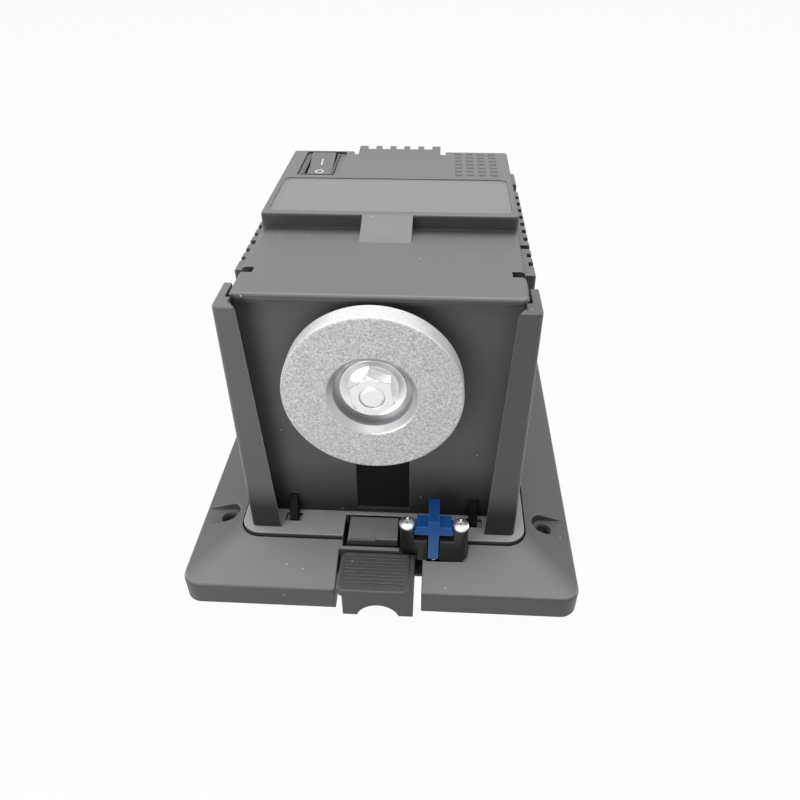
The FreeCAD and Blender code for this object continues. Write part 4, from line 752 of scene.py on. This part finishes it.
def round_rim(bm, axis, y, radius, width, segments):
    """Round the circular edges at one radius and depth of a turned piece."""
    def on_rim(vert):
        reach = math.hypot(vert.co.x - axis.x, vert.co.z - axis.z)
        return abs(vert.co.y - y) < NEAR and abs(reach - radius) < NEAR

    bevel(bm, [e for e in bm.edges if on_rim(e.verts[0]) and on_rim(e.verts[1])], width, segments)


def dress(node, material):
    """Give a CAD node that stays its finish."""
    mesh = frame["nodes"][node].data
    mesh.materials.clear()
    mesh.materials.append(material)


def joint(name):
    return next(j for j in frame["joints"] if j["name"] == name)


def add_spring(node):
    """Stand-in for a spring's node, joined, finished in zinc and given a mesh of its own."""
    bm = bmesh.new()
    bm.from_mesh(frame["nodes"][node].data)
    bmesh.ops.remove_doubles(bm, verts=bm.verts, dist=JOIN_DISTANCE)
    piece = add_piece(bm, node + "_coil", "machine", [zinc()], [node])
    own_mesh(piece)


class SHARPENER_OT_shells(bpy.types.Operator):
    """Mouldings of the base, plinth, body and lid, and the two guide posts"""
    bl_idname = "sharpener.shells"
    bl_label = "Shells"

    def execute(self, context):
        edge = sizes().shell_edge
        for node in ("housing", "bottom_cover"):
            soft_copy(node, edge, shell_plastic())
        for side in ("left", "right"):
            # Painted light and shade: each post gets its own colour
            finish = post_plastic(side + "_post_plastic", getattr(colours(), side + "_post"))
            soft_copy(side + "_guide_post", edge, finish)
        soft_copy("plinth", edge, sill_plastic())
        self.add_base(edge)
        self.add_lid()
        self.add_panel(edge)
        return {"FINISHED"}

    def add_base(self, edge):
        """Base, whose bench screw holes are countersunk in their landings, with painted shade on the countersinks
        """
        bm = merged_copy("base_flange")
        mount = next(m for m in frame["record"]["mounts"] if m["name"] == "bench_screws")
        middle, dims = Vector(mount["pos_m"]), mount["dims"]
        reach = Vector((dims["spacing_x_mm"] / 2000, dims["spacing_y_mm"] / 2000))

        def on_hole(vert):
            place = vert.co - middle
            radius = math.hypot(abs(place.x) - reach.x, abs(place.y) - reach.y)
            return abs(place.z) < NEAR and abs(radius - dims["hole_r_mm"] / 1000) < NEAR

        rims = [e for e in bm.edges if on_hole(e.verts[0]) and on_hole(e.verts[1])]
        # Painted shade on the countersinks
        for face in bevel(bm, rims, sizes().sink, 1, clamp=False):
            face.material_index = 1
        soften(bm, edge)
        add_skin(bm, "base_flange", [base_plastic(), sink_plastic()])

    def add_lid(self):
        """Lid, whose dimples are only pressed in lightly, with painted shade on their floors"""
        bm = merged_copy("top_cover")
        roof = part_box("top_cover")[1].z
        cut, plate = sizes().dimple_cut, sizes().plate_depth
        floors = {v for v in bm.verts if abs(roof - v.co.z - cut) < JOIN_DISTANCE and v.co.x > 0}
        bmesh.ops.translate(bm, vec=(0, 0, cut - sizes().dimple_depth), verts=list(floors))
        bm.normal_update()
        for face in bm.faces:
            # Painted shade on the dimple floors
            if all(vert in floors for vert in face.verts):
                face.material_index = 2
                continue
            depth, up = roof - face.calc_center_median().z, face.normal.z
            on_plate = up > LEVEL_NORMAL and abs(depth - plate) < NEAR
            # Painted light: the ramp that faces the front takes the paler film of the plate
            on_ramp = LEVEL_NORMAL < up < SLOPING_NORMAL and face.normal.y < FRONT_NORMAL
            face.material_index = 1 if on_plate or on_ramp else 0
        soften(bm, sizes().fine_edge)
        add_skin(bm, "top_cover", [lid_plastic(), plate_plastic(), dimple_plastic()])

    def add_panel(self, edge):
        """Front panel, with painted shade on the floor of its recess and on its two hooks"""
        bm = merged_copy("front_panel")
        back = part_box("front_panel")[1].y
        for face in bm.faces:
            y = face.calc_center_median().y
            in_recess = face.normal.y < 0 and y > back - sizes().panel_floor
            on_hook = y < back - sizes().panel_wall - JOIN_DISTANCE
            # Painted shade on the recess floor and the hooks
            face.material_index = 1 if in_recess or on_hook else 0
        soften(bm, edge)
        add_skin(bm, "front_panel", [panel_plastic(), recess_plastic()])


class SHARPENER_OT_grilles(bpy.types.Operator):
    """Slotted side grilles and the toothed vent at the back"""
    bl_idname = "sharpener.grilles"
    bl_label = "Grilles"

    def execute(self, context):
        for node in ("left_grille", "right_grille"):
            soft_copy(node, sizes().fine_edge, shell_plastic())
        self.add_back_vent()
        return {"FINISHED"}

    def add_back_vent(self):
        """Back vent with a lower crest and deeper notches than its solid"""
        bm = merged_copy("rear_grille")
        crest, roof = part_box("rear_grille")[1].z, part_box("top_cover")[1].z
        for vert in bm.verts:
            if abs(crest - vert.co.z - sizes().tooth_notch) < JOIN_DISTANCE:
                vert.co.z = roof - sizes().tooth_root
            elif vert.co.z > roof:
                vert.co.z = roof + (vert.co.z - roof) * sizes().crest_share
        soften(bm, sizes().fine_edge)
        add_skin(bm, "rear_grille", [shell_plastic()])


class SHARPENER_OT_lever(bpy.types.Operator):
    """Release lever with its grooved thumb pad, and its pin"""
    bl_idname = "sharpener.lever"
    bl_label = "Release lever"

    def execute(self, context):
        bm = merged_copy("release_lever")
        plinth_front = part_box("plinth")[0].y
        for face in bm.faces:
            # The latch, behind the plinth's front, takes the paler film of dust and painted sheen
            face.material_index = 1 if face.calc_center_median().y > plinth_front else 0
        soften(bm, sizes().fine_edge)
        add_skin(bm, "release_lever", [lever_plastic(), latch_plastic()])
        dress("lever_pivot_pin", nickel())
        add_spring("lever_spring")
        return {"FINISHED"}


class SHARPENER_OT_interlock(bpy.types.Operator):
    """Black block, blue plunger, bright screws and the small switch below"""
    bl_idname = "sharpener.interlock"
    bl_label = "Interlock"
    dome_steps = 8

    def execute(self, context):
        soft_copy("interlock_block", sizes().shell_edge, black_plastic())
        soft_copy("interlock_plunger", sizes().fine_edge, blue_plastic())
        self.add_screws()
        dress("interlock_switch", black_plastic())
        dress("interlock_button", blue_plastic())
        add_spring("plunger_spring")
        return {"FINISHED"}

    def add_screws(self):
        """Two screws with domed, cross-slotted heads, where the solids have theirs"""
        low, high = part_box("interlock_screws")
        radius = (high.y - low.y) / 2
        seat = high.z - sizes().head_height
        bm = bmesh.new()
        for x in (low.x + radius, high.x - radius):
            screw = self.screw(radius, low.z - seat)
            bmesh.ops.translate(screw, vec=(x, low.y + radius, seat), verts=screw.verts)
            loose = bpy.data.meshes.new("screw")
            screw.to_mesh(loose)
            screw.free()
            bm.from_mesh(loose)
            bpy.data.meshes.remove(loose)
        add_piece(bm, "interlock_screw_heads", "machine", [screw_nickel()],
                  ["interlock_screws"])

    def screw(self, radius, foot):
        """One screw about the Z axis, with its head's seat at the origin"""
        rim, dome = sizes().head_rim, sizes().head_height - sizes().head_rim
        outline = [(0, foot), (sizes().shank, foot), (sizes().shank, 0), (radius, 0)]
        for k in range(self.dome_steps + 1):
            angle = k * math.pi / 2 / self.dome_steps
            outline.append((radius * math.cos(angle), rim + dome * math.sin(angle)))
        bm = spun([(reach, 0, z) for reach, z in outline], False, (0, 0, 0), (0, 0, 1), ROUND_STEPS)
        half, reach = sizes().cross_half, sizes().cross_reach
        for axis in (Vector((1, 0, 0)), Vector((0, 1, 0))):
            for offset in (-reach, -half, half, reach):
                bmesh.ops.bisect_plane(bm, geom=bm.verts[:] + bm.edges[:] + bm.faces[:], dist=JOIN_DISTANCE,
                                       plane_co=axis * offset, plane_no=axis)
        slot = []
        for face in bm.faces:
            middle = face.calc_center_median()
            narrow, wide = sorted((abs(middle.x), abs(middle.y)))
            if middle.z > rim and narrow < half and wide < reach:
                slot.append(face)
        walls = bmesh.ops.extrude_face_region(bm, geom=slot)
        floor = [v for v in walls["geom"] if isinstance(v, bmesh.types.BMVert)]
        bmesh.ops.delete(bm, geom=slot, context="FACES")
        bmesh.ops.translate(bm, vec=(0, 0, -sizes().cross_depth), verts=floor)
        return bm


class SHARPENER_OT_switch(bpy.types.Operator):
    """Rocker switch with its two printed marks"""
    bl_idname = "sharpener.switch"
    bl_label = "Rocker switch"

    def execute(self, context):
        soft_copy("switch_frame", sizes().fine_edge, black_plastic())
        soft_copy("switch_rocker", sizes().shell_edge, switch_plastic())
        dress("switch_terminals", brass())
        self.add_mark("on_mark", self.bar(), sizes().bar_reach, 1)
        self.add_mark("off_mark", self.ring(), sizes().ring_reach, -1)
        return {"FINISHED"}

    def bar(self):
        """Thin bar with soft edges, along the rocker"""
        bm = bmesh.new()
        bmesh.ops.create_cube(bm, size=2.0)
        size = (sizes().mark_line / 2, sizes().bar_half, sizes().mark_rise)
        bmesh.ops.scale(bm, vec=size, verts=bm.verts)
        bevel(bm, bm.edges[:], sizes().mark_rise / 2, EDGE_SEGMENTS)
        return bm

    def ring(self):
        """Thin flat ring"""
        outer, rise = sizes().ring_radius, sizes().mark_rise
        inner = outer - sizes().mark_line
        corners = [(inner, 0, -rise), (outer, 0, -rise), (outer, 0, rise), (inner, 0, rise)]
        return spun(corners, True, (0, 0, 0), (0, 0, 1), ROUND_STEPS)

    def add_mark(self, name, bm, reach, half):
        """Lay a mark on the rocker's rear (1) or front (-1) face"""
        pivot = Vector(joint("rocker_tilt")["pos_m"])
        slope = math.atan2(sizes().rocker_end - sizes().rocker_valley, sizes().rocker_reach)
        rise = sizes().rocker_valley + reach * math.tan(slope)
        lay = Matrix.Translation((0, half * reach, rise)) @ Matrix.Rotation(half * slope, 4, "X")
        place = Matrix.Translation(pivot) @ Matrix.Rotation(sizes().rocker_tilt, 4, "X") @ lay
        bmesh.ops.transform(bm, matrix=place, verts=bm.verts)
        add_piece(bm, name, "rocker", [printed_white()])


class SHARPENER_OT_wheel(bpy.types.Operator):
    """Grinding wheel with rounded rims, a grit coat and a bare dished centre"""
    bl_idname = "sharpener.wheel"
    bl_label = "Grinding wheel"
    steps = 192

    def execute(self, context):
        axis = wheel_axis()
        low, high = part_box("grinding_wheel")
        front, back, rim = low.y, high.y, (high.x - low.x) / 2
        recess, floor = sizes().wheel_recess, front + sizes().recess_floor
        bottom = recess - sizes().recess_slope
        outline = [(front, recess), (front, rim), (back, rim), (back, sizes().bore), (floor, sizes().bore),
                   (floor, bottom), (front + sizes().recess_slope, bottom)]
        bm = turned_piece(outline, axis, self.steps)
        round_rim(bm, axis, front, rim, sizes().rim_round, 8)
        round_rim(bm, axis, back, rim, sizes().back_round, 5)
        round_rim(bm, axis, front, recess, sizes().lip_round, 4)
        for face in bm.faces:
            middle = face.calc_center_median()
            reach = math.hypot(middle.x - axis.x, middle.z - axis.z)
            if reach < recess and middle.y < back - JOIN_DISTANCE:
                face.material_index = 1
            # Painted light: the rim's faces take the lighter copy of the grit
            elif abs(face.normal.y) < RIM_NORMAL:
                face.material_index = 2
        add_piece(bm, "grinding_wheel_coat", "spindle",
                  [wheel_grit(), dish_metal(), rim_grit()], ["grinding_wheel"])
        return {"FINISHED"}


class SHARPENER_OT_spindle(bpy.types.Operator):
    """Cup washer, nut, backing flange and shaft"""
    bl_idname = "sharpener.spindle"
    bl_label = "Spindle pieces"
    steps = 128

    def execute(self, context):
        axis = wheel_axis()
        low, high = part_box("cup_washer")
        rim = (high.x - low.x) / 2
        inner = rim - sizes().cup_lip
        foot = inner - sizes().cup_slope
        dish = high.y - sizes().cup_floor
        front = dish - sizes().cup_depth
        outline = [(high.y, sizes().bore), (high.y, rim), (front, rim), (front, inner), (dish, foot),
                   (dish, sizes().bore)]
        bm = turned_piece(outline, axis, self.steps)
        round_rim(bm, axis, front, rim, sizes().cup_lip / 2, 3)
        round_rim(bm, axis, dish, foot, sizes().fine_edge, 3)
        add_piece(bm, "cup_washer_rim", "spindle", [satin_nickel()], ["cup_washer"])
        soft_copy("wheel_nut", sizes().fine_edge, nickel())
        soft_copy("spindle_shaft", sizes().fine_edge, turned_nickel())
        soft_copy("backing_flange", sizes().fine_edge, turned_nickel())
        return {"FINISHED"}


class SHARPENER_OT_feet(bpy.types.Operator):
    """Rubber feet, cable gland and the screws under the base"""
    bl_idname = "sharpener.feet"
    bl_label = "Feet and gland"

    def execute(self, context):
        for node in ("rubber_feet", "cable_gland"):
            soft_copy(node, sizes().shell_edge, rubber())
        for node in ("bottom_screws", "housing_screws"):
            soft_copy(node, sizes().fine_edge, zinc())
        return {"FINISHED"}


class SHARPENER_OT_motor(bpy.types.Operator):
    """Finishes of the motor and its cradle, which show through the vents"""
    bl_idname = "sharpener.motor"
    bl_label = "Motor"

    def execute(self, context):
        finishes = {
            "stator_core": core_steel, "rotor_core": core_steel, "stator_coils": copper,
            "front_motor_bracket": alloy, "rear_motor_bracket": alloy, "front_bush": bronze,
            "rear_bush": bronze, "motor_bolts": zinc, "cradle_screws": zinc, "strap_screws": zinc,
            "motor_strap": nickel, "motor_cradle": black_plastic, "cooling_fan": nylon,
        }
        for node, finish in finishes.items():
            dress(node, finish())
        return {"FINISHED"}


class SHARPENER_OT_stage(bpy.types.Operator):
    """Floor, lamps, room light and camera"""
    bl_idname = "sharpener.stage"
    bl_label = "Stage"

    def execute(self, context):
        stage = context.scene.sharpener_stage
        self.add_floor(stage)
        for name, (width, place) in LAMPS.items():
            self.add_lamp(name + "_lamp", getattr(stage, name + "_power"), width, Vector(place))
        self.set_room(context, stage)
        self.add_camera(context, stage)
        context.scene.view_settings.view_transform = "Standard"
        return {"FINISHED"}

    def seen(self, tree):
        """1 where the camera or a reflection looks, and 0 where light only bounces"""
        path = add_node(tree, "LightPath").outputs
        mirrored = calc(tree, "MAXIMUM", path["Is Glossy Ray"], path["Is Transmission Ray"])
        return calc(tree, "MAXIMUM", path["Is Camera Ray"], mirrored)

    def add_floor(self, stage):
        """Wide floor that shows white, and takes the shadow"""
        bm = bmesh.new()
        bmesh.ops.create_grid(bm, x_segments=4, y_segments=4, size=stage.floor_size / 2)
        mesh = bpy.data.meshes.new("floor")
        bm.to_mesh(mesh)
        bm.free()
        floor = bpy.data.objects.new("floor", mesh)
        bpy.context.scene.collection.objects.link(floor)
        material, tree, shader = new_material("pale_floor")
        shader.inputs["Base Color"].default_value = opaque(colours().floor)
        shader.inputs["Roughness"].default_value = 0.9
        glow = add_node(tree, "Emission", Color=(1.0, 1.0, 1.0, 1.0), Strength=1.0)
        both = add_node(tree, "MixShader", Fac=times(tree, self.seen(tree), stage.floor_glow))
        tree.links.new(shader.outputs[0], both.inputs[1])
        tree.links.new(glow.outputs[0], both.inputs[2])
        connect(tree, tree.nodes["Material Output"], Surface=both.outputs[0])
        mesh.materials.append(material)

    def add_lamp(self, name, watts, width, place):
        """Round lamp, aimed at the machine and hidden from the camera"""
        lamp = bpy.data.lights.new(name, "AREA")
        lamp.energy = watts
        lamp.shape = "DISK"
        lamp.size = width
        holder = bpy.data.objects.new(name, lamp)
        bpy.context.scene.collection.objects.link(holder)
        holder.location = place
        holder.visible_camera = False
        holder.rotation_euler = (LAMP_TARGET - place).to_track_quat("-Z", "Y").to_euler()

    def set_room(self, context, stage):
        """Even room light, white where the camera or a reflection sees it"""
        world = bpy.data.worlds.new("room")
        world.use_nodes = True
        tree = world.node_tree
        background = tree.nodes["Background"]
        background.inputs["Color"].default_value = (1.0, 1.0, 1.0, 1.0)
        strength = spread(tree, self.seen(tree), 0.0, 1.0, stage.room_light, 1.0)
        connect(tree, background, Strength=strength)
        context.scene.world = world

    def add_camera(self, context, stage):
        """Camera at the photograph's angle"""
        camera = bpy.data.cameras.new("camera")
        camera.lens = stage.camera_lens
        camera.sensor_width = 36.0
        camera.clip_start = 0.01
        holder = bpy.data.objects.new("camera", camera)
        context.scene.collection.objects.link(holder)
        turned = Matrix.Rotation(stage.camera_turn, 4, "Z")
        tilted = Matrix.Rotation(math.pi / 2 - stage.camera_tilt, 4, "X")
        rolled = Matrix.Rotation(stage.camera_roll, 4, "Z")
        holder.matrix_world = Matrix.Translation(Vector(stage.camera_place)) @ turned @ tilted @ rolled
        context.scene.camera = holder


PIECE_OPERATORS = (SHARPENER_OT_shells, SHARPENER_OT_grilles, SHARPENER_OT_lever, SHARPENER_OT_interlock,
                   SHARPENER_OT_switch, SHARPENER_OT_wheel, SHARPENER_OT_spindle, SHARPENER_OT_feet,
                   SHARPENER_OT_motor, SHARPENER_OT_stage)


class SHARPENER_PT_sidebar(bpy.types.Panel):
    """Buttons that make the pieces, and their sizes and colours"""
    bl_idname = "SHARPENER_PT_sidebar"
    bl_label = "Bench Sharpener"
    bl_space_type = "VIEW_3D"
    bl_region_type = "UI"
    bl_category = "Sharpener"

    def draw(self, context):
        for operator in PIECE_OPERATORS:
            self.layout.operator(operator.bl_idname)
        for group in (sizes(), colours(), context.scene.sharpener_stage):
            box = self.layout.box()
            for name in group.bl_rna.properties.keys():
                if name not in {"rna_type", "name"}:
                    box.prop(group, name)


CLASSES = (SharpenerSizes, SharpenerColours, SharpenerStage) + PIECE_OPERATORS + (SHARPENER_PT_sidebar,)


def register():
    for item in CLASSES:
        bpy.utils.register_class(item)
    bpy.types.Scene.sharpener_sizes = bpy.props.PointerProperty(type=SharpenerSizes)
    bpy.types.Scene.sharpener_colours = bpy.props.PointerProperty(type=SharpenerColours)
    bpy.types.Scene.sharpener_stage = bpy.props.PointerProperty(type=SharpenerStage)


def unregister():
    del bpy.types.Scene.sharpener_stage
    del bpy.types.Scene.sharpener_colours
    del bpy.types.Scene.sharpener_sizes
    for item in reversed(CLASSES):
        bpy.utils.unregister_class(item)


def main():
    register()
    bpy.ops.sharpener.shells()
    bpy.ops.sharpener.grilles()
    bpy.ops.sharpener.lever()
    bpy.ops.sharpener.interlock()
    bpy.ops.sharpener.switch()
    bpy.ops.sharpener.wheel()
    bpy.ops.sharpener.spindle()
    bpy.ops.sharpener.feet()
    bpy.ops.sharpener.motor()
    bpy.ops.sharpener.stage()


if __name__ == "__main__":
    main()
